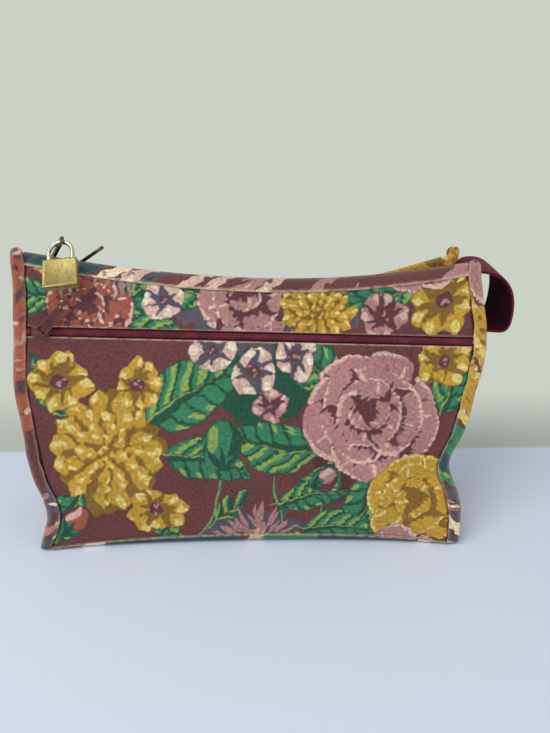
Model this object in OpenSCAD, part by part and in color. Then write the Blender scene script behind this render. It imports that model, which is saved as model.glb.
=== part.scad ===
// Soft zipped cosmetic pouch with a front zip pocket, bound side seams, a webbing
// grab loop and a small brass padlock on one of its two main zip pulls.
// Millimetres. The origin is on the floor, under the middle of the base.
// +X runs along the zips, +Y towards the back, +Z up.

/* [Body] */
// Half width between the side seams, left of the middle
half_left = 138; // [125:1:145]
// Half width between the side seams, right of the middle
half_right = 135; // [125:1:145]
// Base edge of the front panel, in front of the middle
base_front = 48; // [44:1:52]
// Base edge of the back panel, behind the middle
base_back = 46; // [42:1:50]
// Angle at which the front panel leans back
front_lean = 9.2; // [8.6:0.1:9.6]
// Angle at which the back panel leans forward
back_lean = 6.9; // [6.4:0.1:7.4]
// Outward swell of the left seam above mid height
left_swell = 4.5; // [0:0.5:8]
// Inward pinch of the left seam near the floor
left_pinch = 10; // [0:0.5:10]
// Outward swell of the right seam above mid height
right_swell = 8.5; // [2:0.5:10]
// Inward pinch of the right seam below mid height
right_pinch = 10; // [0:0.5:12]
// Forward belly of the pocket front
front_belly = 4; // [0:0.5:8]
// Backward belly of the back panel
back_belly = 5; // [0:0.5:8]
// How far the middle of the front base edge is tucked in
base_tuck = 8; // [0:0.5:10]
// Inward dent of each gusset at mid height
gusset_dent = 9; // [0:0.5:14]
// How far the upper back corner flares past the front one on the left
back_flare = 8; // [0:0.5:10]

/* [Cloth] */
// Thickness of the laminated cloth
cloth_t = 1.4; // [1:0.1:1.6]
// Thickness of the gusset cloth
gusset_t = 1.2; // [0.8:0.1:1.4]
// Thickness of the bottom panel
bottom_t = 1.6; // [1:0.1:1.8]
// Width of the side bindings
binding_w = 8; // [6:0.5:10]
// Thickness of the side bindings with the seam inside them
binding_t = 2.6; // [2:0.1:3]
// Space left between two sewn pieces
seam_gap = 0.3; // [0.2:0.05:0.4]

/* [Top] */
// Height of the main zip at its lowest point
chain_low = 172; // [171:0.5:173]
// Radius of the sag of the main zip
sag_radius = 880; // [800:10:1100]
// Depth of the main zip below the folds of the top bands
zip_recess = 6.5; // [6.2:0.1:6.8]
// Rise of the front fold towards its left end
fold_twist = 5; // [4.6:0.1:5.4]
// Rise of the back fold towards its right end
back_twist = 3.3; // [2.8:0.1:3.8]
// Sag of the back fold at its middle
back_sag = 4; // [3.4:0.1:4.4]
// Height of a top band from its seam to its fold
band_rise = 6; // [5:0.5:7]
// Distance of the front fold in front of the middle
front_fold = 7; // [6.8:0.1:7.4]
// Distance of the back fold behind the middle
back_fold = 12; // [11.6:0.1:12.4]
// Height of the upper ends of the front and right back bindings
binding_top = 196; // [194:1:199]
// Height of the upper end of the left back binding
slumped_top = 189; // [187:1:193]

/* [Zips] */
// Height of the pocket zip on the front panel
pocket_zip_z = 144.3; // [138:0.5:148]
// Slope of the pocket zip, lower on the right
pocket_zip_tilt = 1.5; // [0:0.1:2]
// Opening between the folded cloth edges of the pocket zip
zip_open = 6; // [5.6:0.2:7]
// Width of one coil
coil_w = 2.2; // [1.8:0.1:2.4]
// Height of a coil turn
coil_h = 1.6; // [1.2:0.1:1.6]
// Spacing of the coil turns
coil_pitch = 2; // [1.8:0.2:4]
// Half of the slit between the two coils
coil_slit = 0.45; // [0.4:0.05:0.6]
// Width of one zip tape
tape_w = 11.5; // [9:0.5:12]
// Thickness of the zip tape
tape_t = 0.6; // [0.4:0.1:0.7]
// Depth of the pocket behind the front cloth
pocket_depth = 6.5; // [6:0.5:9]
// Length of a slider
slider_l = 10; // [9:0.5:10.5]
// Width of a slider
slider_w = 8.4; // [8:0.2:9]
// Thickness of a slider plate
slider_t = 1.1; // [0.9:0.1:1.2]
// Distance of the left main slider from the left seam
left_slider_in = 8; // [5:0.5:8]
// Distance between the two main sliders
slider_apart = 13.5; // [13:0.5:20]
// Distance of the pocket slider from the left seam
pocket_slider_in = 7; // [4:0.5:16]

/* [Pulls] */
// Distance from a pull's hinge bar to the middle of its hole
pull_reach = 21.5; // [20:0.5:23]
// Width of a pull
pull_w = 7; // [6.8:0.1:7.4]
// Thickness of a pull
pull_t = 1.2; // [1:0.1:1.2]
// Radius of the hole in a pull
pull_hole_r = 3; // [2.8:0.1:3.1]
// Radius of the round end of a pull
pull_end_r = 4.2; // [4:0.1:4.6]
// Angle of the left main pull above the zip
left_pull_pitch = 57; // [56:0.5:58]
// Forward lean of the left main pull
left_pull_lean = 38; // [37.5:0.5:38.5]
// Angle of the right main pull above the zip
right_pull_pitch = 33; // [30:1:36]
// Angle at which the pocket pull lies across its zip
pocket_pull_turn = 44; // [40:1:46]

/* [Padlock] */
// Width of the padlock body
lock_w = 20; // [18:0.5:20.5]
// Height of the padlock body
lock_h = 19; // [17:0.5:20]
// Thickness of the padlock body
lock_t = 5; // [4.8:0.1:5.2]
// Radius of the shackle wire
wire_r = 1.3; // [1.2:0.05:1.35]
// Radius of the shackle bow along the middle of the wire
bow_r = 7; // [6.5:0.1:7.2]
// Height from the body to the top of the bow, along the middle of the wire
shackle_h = 13.5; // [13:0.1:14.5]
// Length of the shackle legs inside the body
shackle_in = 8; // [7.5:0.5:10]
// Angle at which the padlock leans over the front band
lock_tilt = 43; // [42:0.5:44]
// Turn of the padlock in its own plane
lock_turn = 8; // [5:0.5:9]
// Place of the bow along the pull, from the hinge bar
bow_at = 22; // [21.6:0.1:22.2]
// Radius of the key plug
plug_r = 1.7; // [1.5:0.05:1.75]
// Length of the key plug
plug_l = 8; // [6:0.5:9]

/* [Grab loop] */
// Width of the webbing
strap_w = 25; // [20:1:26]
// Thickness of the webbing
strap_t = 1.6; // [1.2:0.1:1.8]
// Reach of the loop beyond the middle of the pouch
strap_reach = 174; // [171:1:177]
// Height of the top of the loop
strap_top = 189; // [186:1:191]
// Height of the bottom of the loop
strap_low = 143; // [141:1:145]

/* [Hidden] */
$fn = 48;

// Heights and spreads of the swells and pinches of the side seams
left_swell_z = 118;
left_swell_spread = 38;
left_pinch_z = 27;
left_pinch_spread = 22;
right_swell_z = 140;
right_swell_spread = 36;
right_pinch_z = 58;
right_pinch_spread = 20;
flare_z = 175;
flare_spread = 60;
tuck_spread = 18;

// Levels that follow from the values above
panel_foot = bottom_t + seam_gap;
zip_mid_y = (back_fold - front_fold) / 2;
span_over = 3;
half_span = max(half_left, half_right) + span_over;
chain_in = 2;
chain_from = chain_in - half_left;
chain_to = half_right - chain_in;
left_slider_x = left_slider_in - half_left;
right_slider_x = left_slider_x + slider_apart;
pocket_slider_x = pocket_slider_in - half_left;
tape_level = -coil_h;
corner_r = 7;
bottom_in = 0.5;
right_front_drop = 4;
left_front_rise = 2.5;
cut_over = 1;

// Steps of the faceted cloth
across_steps = 16;
up_steps = 14;
top_steps = 20;

cloth_colour = [0.48, 0.27, 0.25];
binding_colour = [0.75, 0.55, 0.42];
lining_colour = [0.40, 0.23, 0.22];
tape_colour = [0.30, 0.06, 0.12];
coil_colour = [0.40, 0.10, 0.16];
enamel_colour = [0.35, 0.14, 0.14];
bronze_colour = [0.30, 0.24, 0.18];
strap_colour = [0.45, 0.09, 0.19];
brass_colour = [0.84, 0.74, 0.36];
steel_colour = [0.86, 0.85, 0.78];

function mix(a, b, t) = a + (b - a) * t;
function bump(v, at, spread) = exp(-pow((v - at) / spread, 2));
function arch(s) = 4 * s * (1 - s);

// Side seams: distance from the middle at a height
function left_edge(z) = -half_left - left_swell * bump(z, left_swell_z, left_swell_spread)
    + left_pinch * bump(z, left_pinch_z, left_pinch_spread);
function right_edge(z) = half_right + right_swell * bump(z, right_swell_z, right_swell_spread)
    - right_pinch * bump(z, right_pinch_z, right_pinch_spread);
function back_left_edge(z) = left_edge(z) - back_flare * bump(z, flare_z, flare_spread);

// Outer planes of the front and back
function front_y(z) = -base_front + z * tan(front_lean);
function back_y(z) = base_back - z * tan(back_lean);

// Main zip and the folds and seams of the top bands, at a place along the pouch
function zip_z(x) = chain_low + sag_radius - sqrt(sag_radius * sag_radius - x * x);
function front_fold_z(x) = zip_z(x) + zip_recess - fold_twist * x / half_span;
function back_fold_z(x) = zip_z(x) + zip_recess + back_twist * x / half_span
    - back_sag * (1 - pow(x / half_span, 2));
function front_seam_z(x) = front_fold_z(x) - band_rise;
function back_seam_z(x) = back_fold_z(x) - band_rise;

// Height of a line that runs beside the pocket zip
function pocket_line_z(x, off) = pocket_zip_z + cos(front_lean) * (off - x * tan(pocket_zip_tilt));

// A closed sheet between two grids of points. Seen from outside, rows run to the right and columns up.
module sheet(outer, inner) {
    m = len(outer) - 1;
    n = len(outer[0]) - 1;
    w = n + 1;
    h = (m + 1) * w;
    points = concat([for (row = outer) each row], [for (row = inner) each row]);
    quads = concat(
        [for (i = [0 : m - 1], k = [0 : n - 1])
            [i * w + k, i * w + k + 1, (i + 1) * w + k + 1, (i + 1) * w + k]],
        [for (i = [0 : m - 1], k = [0 : n - 1])
            [h + i * w + k, h + (i + 1) * w + k, h + (i + 1) * w + k + 1, h + i * w + k + 1]],
        [for (k = [0 : n - 1]) [k + 1, k, h + k, h + k + 1]],
        [for (k = [0 : n - 1]) [m * w + k, m * w + k + 1, h + m * w + k + 1, h + m * w + k]],
        [for (i = [0 : m - 1]) [(i + 1) * w + n, i * w + n, h + i * w + n, h + (i + 1) * w + n]],
        [for (i = [0 : m - 1]) [i * w, (i + 1) * w, h + (i + 1) * w, h + i * w]]);
    polyhedron(points, [for (q = quads) each [[q[0], q[1], q[2]], [q[0], q[2], q[3]]]], convexity = 8);
}

// Point on the front, a share s across and at height z, behind the outer plane by depth
function front_point(s, z, depth, inset) =
    let (x = mix(left_edge(z) + inset, right_edge(z) - inset, s),
        low = z / pocket_line_z(x, 0),
        belly = front_belly * arch(s) * max(0, sin(180 * low)),
        tuck = base_tuck * arch(s) * exp(-z / tuck_spread))
    [x, front_y(z) - belly + tuck + depth * cos(front_lean), z - depth * sin(front_lean)];

// Grid on the front between two heights that are functions of x
function front_grid(low, high, steps, depth, inset) =
    [for (i = [0 : across_steps]) let (s = i / across_steps)
        [for (k = [0 : steps]) front_point(s, mix(low[i], high[i], k / steps), depth, inset)]];

function along(s) = mix(-half_left, half_right, s);
stations = [for (i = [0 : across_steps]) along(i / across_steps)];

// Cloth panels
module front_upper_strip() {
    low = [for (x = stations) pocket_line_z(x, zip_open / 2)];
    high = [for (x = stations) front_seam_z(x) - seam_gap];
    color(cloth_colour)
        sheet(front_grid(low, high, 2, 0, seam_gap), front_grid(low, high, 2, cloth_t, seam_gap));
}

module pocket_front() {
    low = [for (x = stations) panel_foot];
    outer_high = [for (x = stations) pocket_line_z(x, -zip_open / 2)];
    foot_in = cloth_t * sin(front_lean);
    low_in = [for (x = stations) panel_foot + foot_in];
    color(cloth_colour)
        sheet(front_grid(low, outer_high, up_steps, 0, seam_gap),
            front_grid(low_in, outer_high, up_steps, cloth_t, seam_gap));
}

module pocket_backing() {
    near = cloth_t + pocket_depth;
    far = near + gusset_t;
    inset = gusset_t + 3 * seam_gap + gusset_dent / 3;
    low = [for (x = stations) panel_foot + far * sin(front_lean)];
    high = [for (x = stations) zip_z(x) + tape_level - tape_t - 2 * seam_gap];
    color(lining_colour)
        sheet(front_grid(low, high, up_steps, near, inset), front_grid(low, high, up_steps, far, inset));
}

module bottom_panel() {
    left = left_edge(0) + seam_gap;
    right = right_edge(0) - seam_gap;
    front_edge = [for (i = [0 : across_steps]) let (s = i / across_steps)
        [mix(left, right, s), -base_front + bottom_in + base_tuck * arch(s)]];
    color(cloth_colour)
        linear_extrude(bottom_t)
            polygon(concat(front_edge, [[right, base_back - bottom_in], [left, base_back - bottom_in]]));
}

function back_point(s, z, depth) =
    let (x = mix(right_edge(z) - seam_gap, back_left_edge(z) + seam_gap, s),
        belly = back_belly * arch(s) * max(0, sin(180 * z / back_seam_z(x))))
    [x, back_y(z) + belly - depth * cos(back_lean), z - depth * sin(back_lean)];

module back_panel() {
    high = [for (x = stations) back_seam_z(-x) - seam_gap];
    function grid(depth) = [for (i = [0 : across_steps]) let (s = i / across_steps)
        [for (k = [0 : up_steps])
            back_point(s, mix(panel_foot + depth * sin(back_lean), high[i], k / up_steps), depth)]];
    color(cloth_colour)
        sheet(grid(0), grid(cloth_t));
}

// Gussets: their upper edge follows the bands and dips at the main zip
gusset_shares = [0, 0.12, 0.22, 0.32, 0.36, 0.5, 0.63, 0.67, 0.78, 0.88, 1];
gusset_steps = 12;
roof_under = 0.8;
dent_over = 12;
dent_top = chain_low + dent_over;

function roof_z(x, y) =
    let (front_seam_y = front_y(front_seam_z(x)),
        back_seam_y = back_y(back_seam_z(x)),
        front_share = (y - front_seam_y) / (-front_fold - front_seam_y),
        back_share = (back_seam_y - y) / (back_seam_y - back_fold))
    y < -front_fold ? mix(front_seam_z(x), front_fold_z(x), front_share) - roof_under
    : y > back_fold ? mix(back_seam_z(x), back_fold_z(x), back_share) - roof_under
    : zip_z(x) + roof_under;

function gusset_y(t, z) = mix(front_y(z) + cloth_t + 2 * seam_gap, back_y(z) - cloth_t - 2 * seam_gap, t);
function gusset_in(t, z) = gusset_dent * sin(180 * t) * max(0, sin(180 * z / dent_top));

function gusset_point(side, t, v, depth) =
    let (end_x = side < 0 ? -half_left : half_right,
        top = roof_z(end_x, gusset_y(t, dent_top)),
        z = mix(panel_foot, top, v),
        front_x = side < 0 ? left_edge(z) : right_edge(z),
        back_x = side < 0 ? back_left_edge(z) : right_edge(z),
        x = mix(front_x, back_x, t) - side * (seam_gap + gusset_in(t, z) + depth))
    [x, gusset_y(t, z), z];

module gusset(side) {
    last = len(gusset_shares) - 1;
    shares = side < 0 ? [for (i = [0 : last]) gusset_shares[last - i]] : gusset_shares;
    function grid(depth) = [for (t = shares)
        [for (k = [0 : gusset_steps]) gusset_point(side, t, k / gusset_steps, depth)]];
    color(cloth_colour)
        sheet(grid(0), grid(gusset_t));
}

// Bindings: one strip down the front seam, along the floor and up the back seam
function bend(a, b, c, t) = mix(mix(a, b, t), mix(b, c, t), t);

function binding_path(front_top, back_top) =
    let (rise_steps = 24, floor_steps = 4, bend_steps = 4,
        front_foot = [front_y(corner_r), corner_r], back_foot = [back_y(corner_r), corner_r],
        floor_front = [-base_front + corner_r, 0], floor_back = [base_back - corner_r, 0])
    concat(
        [for (k = [0 : rise_steps - 1]) let (z = mix(front_top, corner_r, k / rise_steps)) [front_y(z), z]],
        [for (k = [0 : bend_steps]) bend(front_foot, [-base_front, 0], floor_front, k / bend_steps)],
        [for (k = [1 : floor_steps - 1]) mix(floor_front, floor_back, k / floor_steps)],
        [for (k = [0 : bend_steps]) bend(floor_back, [base_back, 0], back_foot, k / bend_steps)],
        [for (k = [1 : rise_steps]) let (z = mix(corner_r, back_top, k / rise_steps)) [back_y(z), z]]);

function unit(v) = v / norm(v);

module binding(side, front_top, back_top) {
    path = binding_path(front_top, back_top);
    last = len(path) - 1;
    function edge(p) = side > 0 ? right_edge(p[1]) : p[0] < 0 ? left_edge(p[1]) : back_left_edge(p[1]);
    function inward(i) = let (d = unit(path[min(i + 1, last)] - path[max(i - 1, 0)])) [-d[1], d[0]];
    function row(i, depth) =
        let (p = path[i] + depth * inward(i),
            x = edge(path[i]),
            near = side < 0 ? x - binding_w : x)
        [[near, p[0], p[1]], [near + binding_w, p[0], p[1]]];
    color(binding_colour)
        sheet([for (i = [0 : last]) row(i, 0)], [for (i = [0 : last]) row(i, binding_t)]);
}

module left_gusset() gusset(-1);
module right_gusset() gusset(1);
module left_binding() binding(-1, binding_top + left_front_rise, slumped_top);
module right_binding() binding(1, binding_top - right_front_drop, binding_top);

// Top bands: a slope from the seam up to the fold, then a wall down to the main zip
fold_round = 1.2;
fold_inside = 0.6;
band_inset = gusset_t + 2 * seam_gap;

function band_outer(seam, fold, foot) =
    let (slope = unit(fold - seam))
    [seam, fold - fold_round * slope, fold - [0, fold_round], foot];

function band_inner(seam, fold, foot) =
    let (slope = unit(fold - seam), wall = fold[0] > seam[0] ? -1 : 1,
        down = [-wall * slope[1], -abs(slope[0])] * cloth_t,
        run = (fold[0] + wall * cloth_t - seam[0] - down[0]) / slope[0],
        corner = seam + down + run * slope)
    [seam + down - down[1] / slope[1] * slope, corner - fold_inside * slope,
        corner - [0, fold_inside], foot + [wall * cloth_t, 0]];

module top_band(y_seam_side) {
    is_front = y_seam_side < 0;
    function place(i) = let (s = is_front ? i / top_steps : 1 - i / top_steps)
        mix(-half_left + band_inset, half_right - band_inset, s);
    function seam(x) = is_front
        ? [front_y(front_seam_z(x)), front_seam_z(x)]
        : [back_y(back_seam_z(x)), back_seam_z(x)];
    function fold(x) = is_front ? [-front_fold, front_fold_z(x)] : [back_fold, back_fold_z(x)];
    function foot(x) = [fold(x)[0], zip_z(x) + tape_level + seam_gap];
    function raise(x, line) = [for (p = line) [x, p[0], p[1]]];
    color(binding_colour)
        sheet([for (i = [0 : top_steps]) let (x = place(i)) raise(x, band_outer(seam(x), fold(x), foot(x)))],
            [for (i = [0 : top_steps]) let (x = place(i)) raise(x, band_inner(seam(x), fold(x), foot(x)))]);
}

module front_top_band() top_band(-1);
module back_top_band() top_band(1);

// Main zip: tapes and coils on the sagging line
module main_tape(side) {
    near = zip_mid_y + side * 2 * coil_slit;
    far = near + side * tape_w;
    lines = side < 0 ? [far, near] : [near, far];
    function grid(drop) = [for (i = [0 : top_steps])
        let (x = mix(chain_from, chain_to, i / top_steps))
        [for (y = lines) [x, y, zip_z(x) + tape_level - drop]]];
    color(tape_colour)
        sheet(grid(0), grid(tape_t));
}

// Outline of a coil: turns along the top of a strip whose middle line is a function of x
function coil_outline(from, to, sagging) =
    let (count = floor((to - from) / coil_pitch), base_steps = sagging ? top_steps : 1)
    concat(
        [for (k = [0 : base_steps])
            let (x = mix(from, to, k / base_steps))
            [x, (sagging ? zip_z(x) : 0) + tape_level]],
        [for (k = [0 : 2 * count])
            let (x = to - k * (to - from) / (2 * count), crest = k % 2 == 1 ? 0 : -coil_h / 2)
            [x, (sagging ? zip_z(x) : 0) + crest]]);

module coil(from, to, sagging) {
    color(coil_colour)
        rotate([90, 0, 0])
            linear_extrude(coil_w)
                polygon(coil_outline(from, to, sagging));
}

module main_tape_front() main_tape(-1);
module main_tape_back() main_tape(1);
module main_coil_front() translate([0, zip_mid_y - coil_slit, 0]) coil(chain_from, chain_to, true);
module main_coil_back() translate([0, zip_mid_y + coil_slit + coil_w, 0]) coil(chain_from, chain_to, true);

// Sliders: two plates joined by a thin web between the coils, with a bridge for the pull
slider_lift = 0.35;
web_t = 0.4;
web_from = 0.5;
nose_w = 6.6;
bridge_w = 1.4;
bridge_leg = 0.9;
bridge_in = 1.7;
bridge_h = 4.6;
plate_top = slider_lift + slider_t;
plate_under = tape_level - tape_t - seam_gap - slider_lift;

module slider_plate() {
    polygon([[-slider_l / 2, -nose_w / 2], [-slider_l / 4, -nose_w / 2], [slider_l / 4, -slider_w / 2],
        [slider_l / 2, -slider_w / 2], [slider_l / 2, slider_w / 2], [slider_l / 4, slider_w / 2],
        [-slider_l / 4, nose_w / 2], [-slider_l / 2, nose_w / 2]]);
}

module slider() {
    bridge_l = 2 * (bridge_in + bridge_leg);
    translate([0, 0, slider_lift])
        linear_extrude(slider_t)
            slider_plate();
    translate([0, 0, plate_under - slider_t])
        linear_extrude(slider_t)
            slider_plate();
    translate([web_from, -web_t / 2, plate_under - slider_t / 2])
        cube([slider_l / 2 - web_from, web_t, slider_lift - plate_under + slider_t]);
    translate([0, bridge_w / 2, plate_top])
        rotate([90, 0, 0])
            linear_extrude(bridge_w)
                difference() {
                    translate([-bridge_l / 2, -slider_t / 2])
                        square([bridge_l, bridge_h + bridge_leg + slider_t / 2]);
                    translate([-bridge_in, 0])
                        square([2 * bridge_in, bridge_h]);
                }
}

// Pulls: a hinge bar, an open eye for the bridge, a shank and a round end with a hole
bar_half = 0.4;
eye_l = 4.8;
eye_w = 5.4;
flat_hinge = 1.2;
raised_hinge = 3;

module pull() {
    translate([0, 0, -pull_t / 2])
        linear_extrude(pull_t)
            difference() {
                union() {
                    translate([-bar_half, -pull_w / 2])
                        square([pull_reach + bar_half, pull_w]);
                    translate([pull_reach, 0])
                        circle(r = pull_end_r);
                }
                translate([bar_half, -eye_w / 2])
                    square([eye_l, eye_w]);
                translate([pull_reach, 0])
                    circle(r = pull_hole_r);
            }
}

// Places along the main zip, with the zip's slope there
function zip_angle(x) = -asin(x / sag_radius);
module on_main_zip(x) translate([x, zip_mid_y, zip_z(x)]) rotate([0, zip_angle(x), 0]) children();
function hinge_on_zip(x, up) = [x, zip_mid_y, zip_z(x)]
    + (plate_top + up) * [sin(zip_angle(x)), 0, cos(zip_angle(x))];

left_hinge = hinge_on_zip(left_slider_x, raised_hinge);
right_hinge = hinge_on_zip(right_slider_x, flat_hinge);

module main_slider_left() color(bronze_colour) on_main_zip(left_slider_x) slider();
module main_slider_right() color(bronze_colour) on_main_zip(right_slider_x) slider();
module main_pull_left() color(bronze_colour)
    translate(left_hinge) rotate([left_pull_lean, 0, 0]) rotate([0, -left_pull_pitch, 0]) pull();
module main_pull_right() color(bronze_colour)
    translate(right_hinge) rotate([0, -right_pull_pitch, 0]) pull();

// Pocket zip: straight, in the plane of the front panel
module on_pocket_zip() {
    translate([0, front_y(pocket_zip_z), pocket_zip_z])
        rotate([-front_lean, 0, 0])
            rotate([0, pocket_zip_tilt, 0])
                rotate([90, 0, 0])
                    children();
}
pocket_from = left_edge(pocket_zip_z) + band_inset + 2 * seam_gap;
pocket_to = right_edge(pocket_zip_z) - band_inset - 2 * seam_gap;

module pocket_tape(side) {
    low_edge = side * (2 * coil_slit + tape_w / 2) - tape_w / 2;
    color(tape_colour)
        on_pocket_zip()
            translate([pocket_from, low_edge, tape_level - seam_gap - tape_t])
                cube([pocket_to - pocket_from, tape_w, tape_t]);
}

module pocket_coil(low_edge) {
    on_pocket_zip()
        translate([0, low_edge + coil_w, -seam_gap])
            coil(pocket_from, pocket_to, false);
}

module pocket_tape_upper() pocket_tape(1);
module pocket_tape_lower() pocket_tape(-1);
module pocket_coil_upper() pocket_coil(coil_slit);
module pocket_coil_lower() pocket_coil(-coil_slit - coil_w);
module pocket_slider() color(enamel_colour) on_pocket_zip() translate([pocket_slider_x, 0, 0]) slider();
module pocket_pull() color(enamel_colour)
    on_pocket_zip()
        translate([pocket_slider_x, 0, plate_top + flat_hinge])
            rotate([0, 0, pocket_pull_turn])
                pull();

// Grab loop: webbing sewn flat to the right gusset at both ends
strap_steps = 8;
seat_ratio = 0.16;
sewn_low = 158;
sewn_mid = 167;
sewn_high = 176;

// Lengths over which the loop leaves its seams, crest, side and sole
leave_up = 7;
leave_down = 12;
crest_in = 9;
crest_out = 14;
side_up = 16;
side_down = 12;
sole_out = 7;
sole_in = 12;

function strap_seat(z) = right_edge(z) - gusset_in(seat_ratio, z) + seam_gap + strap_t;
function cubic(p, t) = mix(bend(p[0], p[1], p[2], t), bend(p[1], p[2], p[3], t), t);

side_ratio = 0.42;
crest_ratio = 0.4;
sole_ratio = 0.72;
strap_side = [strap_reach - strap_t, mix(strap_low, strap_top, side_ratio)];
strap_crest = [mix(half_right, strap_reach, crest_ratio), strap_top - strap_t];
strap_sole = [mix(half_right, strap_reach, sole_ratio), strap_low + strap_t];
upper_seam = [strap_seat(sewn_high), sewn_high];
lower_seam = [strap_seat(sewn_low), sewn_low];
strap_bends = [
    [upper_seam, upper_seam + [0, leave_up], strap_crest - [crest_in, 0], strap_crest],
    [strap_crest, strap_crest + [crest_out, 0], strap_side + [0, side_up], strap_side],
    [strap_side, strap_side - [0, side_down], strap_sole + [sole_out, 0], strap_sole],
    [strap_sole, strap_sole - [sole_in, 0], lower_seam - [0, leave_down], lower_seam]];
strap_path = concat(
    [[strap_seat(sewn_mid + seam_gap), sewn_mid + seam_gap]],
    [for (b = strap_bends, k = [0 : strap_steps - 1]) cubic(b, k / strap_steps)],
    [lower_seam, [strap_seat(sewn_mid - seam_gap), sewn_mid - seam_gap]]);

module grab_strap() {
    last = len(strap_path) - 1;
    function outward(i) =
        let (d = unit(strap_path[min(i + 1, last)] - strap_path[max(i - 1, 0)]))
        [-d[1], d[0]];
    function row(i, off) = let (p = strap_path[i] + off * outward(i))
        [for (side = [-1, 1]) [p[0], zip_mid_y + side * strap_w / 2, p[1]]];
    color(strap_colour)
        sheet([for (i = [0 : last]) row(i, strap_t)], [for (i = [0 : last]) row(i, 0)]);
}

// Padlock: hangs by its bow from the hole of the left main pull
bore_ease = 0.25;
bore_over = 1;
face_rim = 1.6;
face_depth = 0.3;
key_w = 0.7;
key_h = 2.2;
key_depth = 5;

left_pull_way = [cos(left_pull_pitch), -sin(left_pull_pitch) * sin(left_pull_lean),
    sin(left_pull_pitch) * cos(left_pull_lean)];
bow_top = left_hinge + bow_at * left_pull_way;

module on_lock() translate(bow_top) rotate([-lock_tilt, 0, 0]) rotate([0, -lock_turn, 0]) children();

module lock_shackle() {
    leg_l = shackle_h - bow_r + shackle_in;
    color(steel_colour)
        on_lock()
            translate([0, 0, -bow_r]) {
                rotate([90, 0, 0])
                    rotate_extrude(angle = 180)
                        translate([bow_r, 0])
                            circle(r = wire_r);
                for (side = [-1, 1])
                    translate([side * bow_r, 0, -leg_l])
                        cylinder(r = wire_r, h = leg_l);
            }
}

module lock_body() {
    bore_l = shackle_in + bore_over;
    color(brass_colour)
        on_lock()
            translate([0, 0, -shackle_h - lock_h])
                difference() {
                    translate([-lock_w / 2, -lock_t / 2, 0])
                        cube([lock_w, lock_t, lock_h]);
                    translate([-lock_w / 2 + face_rim, -lock_t / 2 - cut_over, face_rim])
                        cube([lock_w - 2 * face_rim, cut_over + face_depth, lock_h - 2 * face_rim]);
                    for (side = [-1, 1])
                        translate([side * bow_r, 0, lock_h - bore_l])
                            cylinder(r = wire_r + bore_ease, h = bore_l + cut_over);
                    translate([0, 0, -cut_over])
                        cylinder(r = plug_r + bore_ease, h = plug_l + bore_ease + cut_over);
                }
}

module lock_plug() {
    color(steel_colour)
        on_lock()
            translate([0, 0, -shackle_h - lock_h])
                difference() {
                    cylinder(r = plug_r, h = plug_l);
                    translate([-key_w / 2, -key_h / 2, -cut_over])
                        cube([key_w, key_h, key_depth + cut_over]);
                }
}

front_upper_strip();
pocket_front();
pocket_backing();
bottom_panel();
back_panel();
left_gusset();
right_gusset();
left_binding();
right_binding();
front_top_band();
back_top_band();
main_tape_front();
main_tape_back();
main_coil_front();
main_coil_back();
main_slider_left();
main_pull_left();
main_slider_right();
main_pull_right();
pocket_tape_upper();
pocket_tape_lower();
pocket_coil_upper();
pocket_coil_lower();
pocket_slider();
pocket_pull();
grab_strap();
lock_body();
lock_shackle();
lock_plug();
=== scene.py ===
"""Dresses the soft floral cosmetic pouch: printed cloth, zips, grab loop and padlock over its CAD frame."""

import logging
from dataclasses import dataclass, field
from enum import Enum
from math import cos, pi, radians, sin, sqrt, tan
from typing import Callable, Iterable, Sequence

import bpy
import numpy as np
from mathutils import Matrix, Vector


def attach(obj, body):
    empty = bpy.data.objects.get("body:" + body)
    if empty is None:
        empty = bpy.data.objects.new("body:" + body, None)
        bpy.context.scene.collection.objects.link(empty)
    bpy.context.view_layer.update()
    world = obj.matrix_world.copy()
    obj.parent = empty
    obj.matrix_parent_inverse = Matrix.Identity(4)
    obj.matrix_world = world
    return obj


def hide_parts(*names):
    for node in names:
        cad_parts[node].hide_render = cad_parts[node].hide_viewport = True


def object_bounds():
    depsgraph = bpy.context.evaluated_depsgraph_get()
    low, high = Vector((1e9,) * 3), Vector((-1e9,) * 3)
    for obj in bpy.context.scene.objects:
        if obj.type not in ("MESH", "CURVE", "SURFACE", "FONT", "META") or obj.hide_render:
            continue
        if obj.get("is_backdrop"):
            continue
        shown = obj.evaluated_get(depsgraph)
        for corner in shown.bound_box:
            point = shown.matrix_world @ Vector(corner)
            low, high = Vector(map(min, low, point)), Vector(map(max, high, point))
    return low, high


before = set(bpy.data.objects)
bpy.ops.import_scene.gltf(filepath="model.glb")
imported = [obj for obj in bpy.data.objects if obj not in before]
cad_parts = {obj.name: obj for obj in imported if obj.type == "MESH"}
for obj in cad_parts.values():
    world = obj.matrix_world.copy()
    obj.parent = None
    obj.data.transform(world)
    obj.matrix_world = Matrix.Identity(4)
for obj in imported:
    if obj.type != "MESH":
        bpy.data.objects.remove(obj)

LOG = logging.getLogger("pouch")
MM = 0.001
TAU = 2 * pi
Thing = bpy.types.Object
Material = bpy.types.Material
Socket = bpy.types.NodeSocket
Node = bpy.types.Node
Tree = bpy.types.NodeTree
Array = np.ndarray
Pair = tuple[float, float]
Triple = tuple[float, float, float]
Colour = tuple[int, int, int]


# Small helpers

def mix(low: Array, high: Array, share: Array) -> Array:
    """Goes from low to high by a share."""
    return low + (high - low) * share


def bump(at: Array, middle: float, spread: float) -> Array:
    """A smooth hill of height one."""
    return np.exp(-(((at - middle) / spread) ** 2))


def arch(share: Array) -> Array:
    """A parabola that is zero at both ends and one in the middle."""
    return 4 * share * (1 - share)


def unit(value: Array) -> Array:
    """A value kept within 0 and 1."""
    return np.clip(value, 0, 1)


def bend(start: Array, knee: Array, end: Array, shares: Array) -> Array:
    """Points on a rounded corner from a start to an end."""
    t = shares[:, None]
    return (1 - t) ** 2 * start + 2 * t * (1 - t) * knee + t**2 * end


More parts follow.
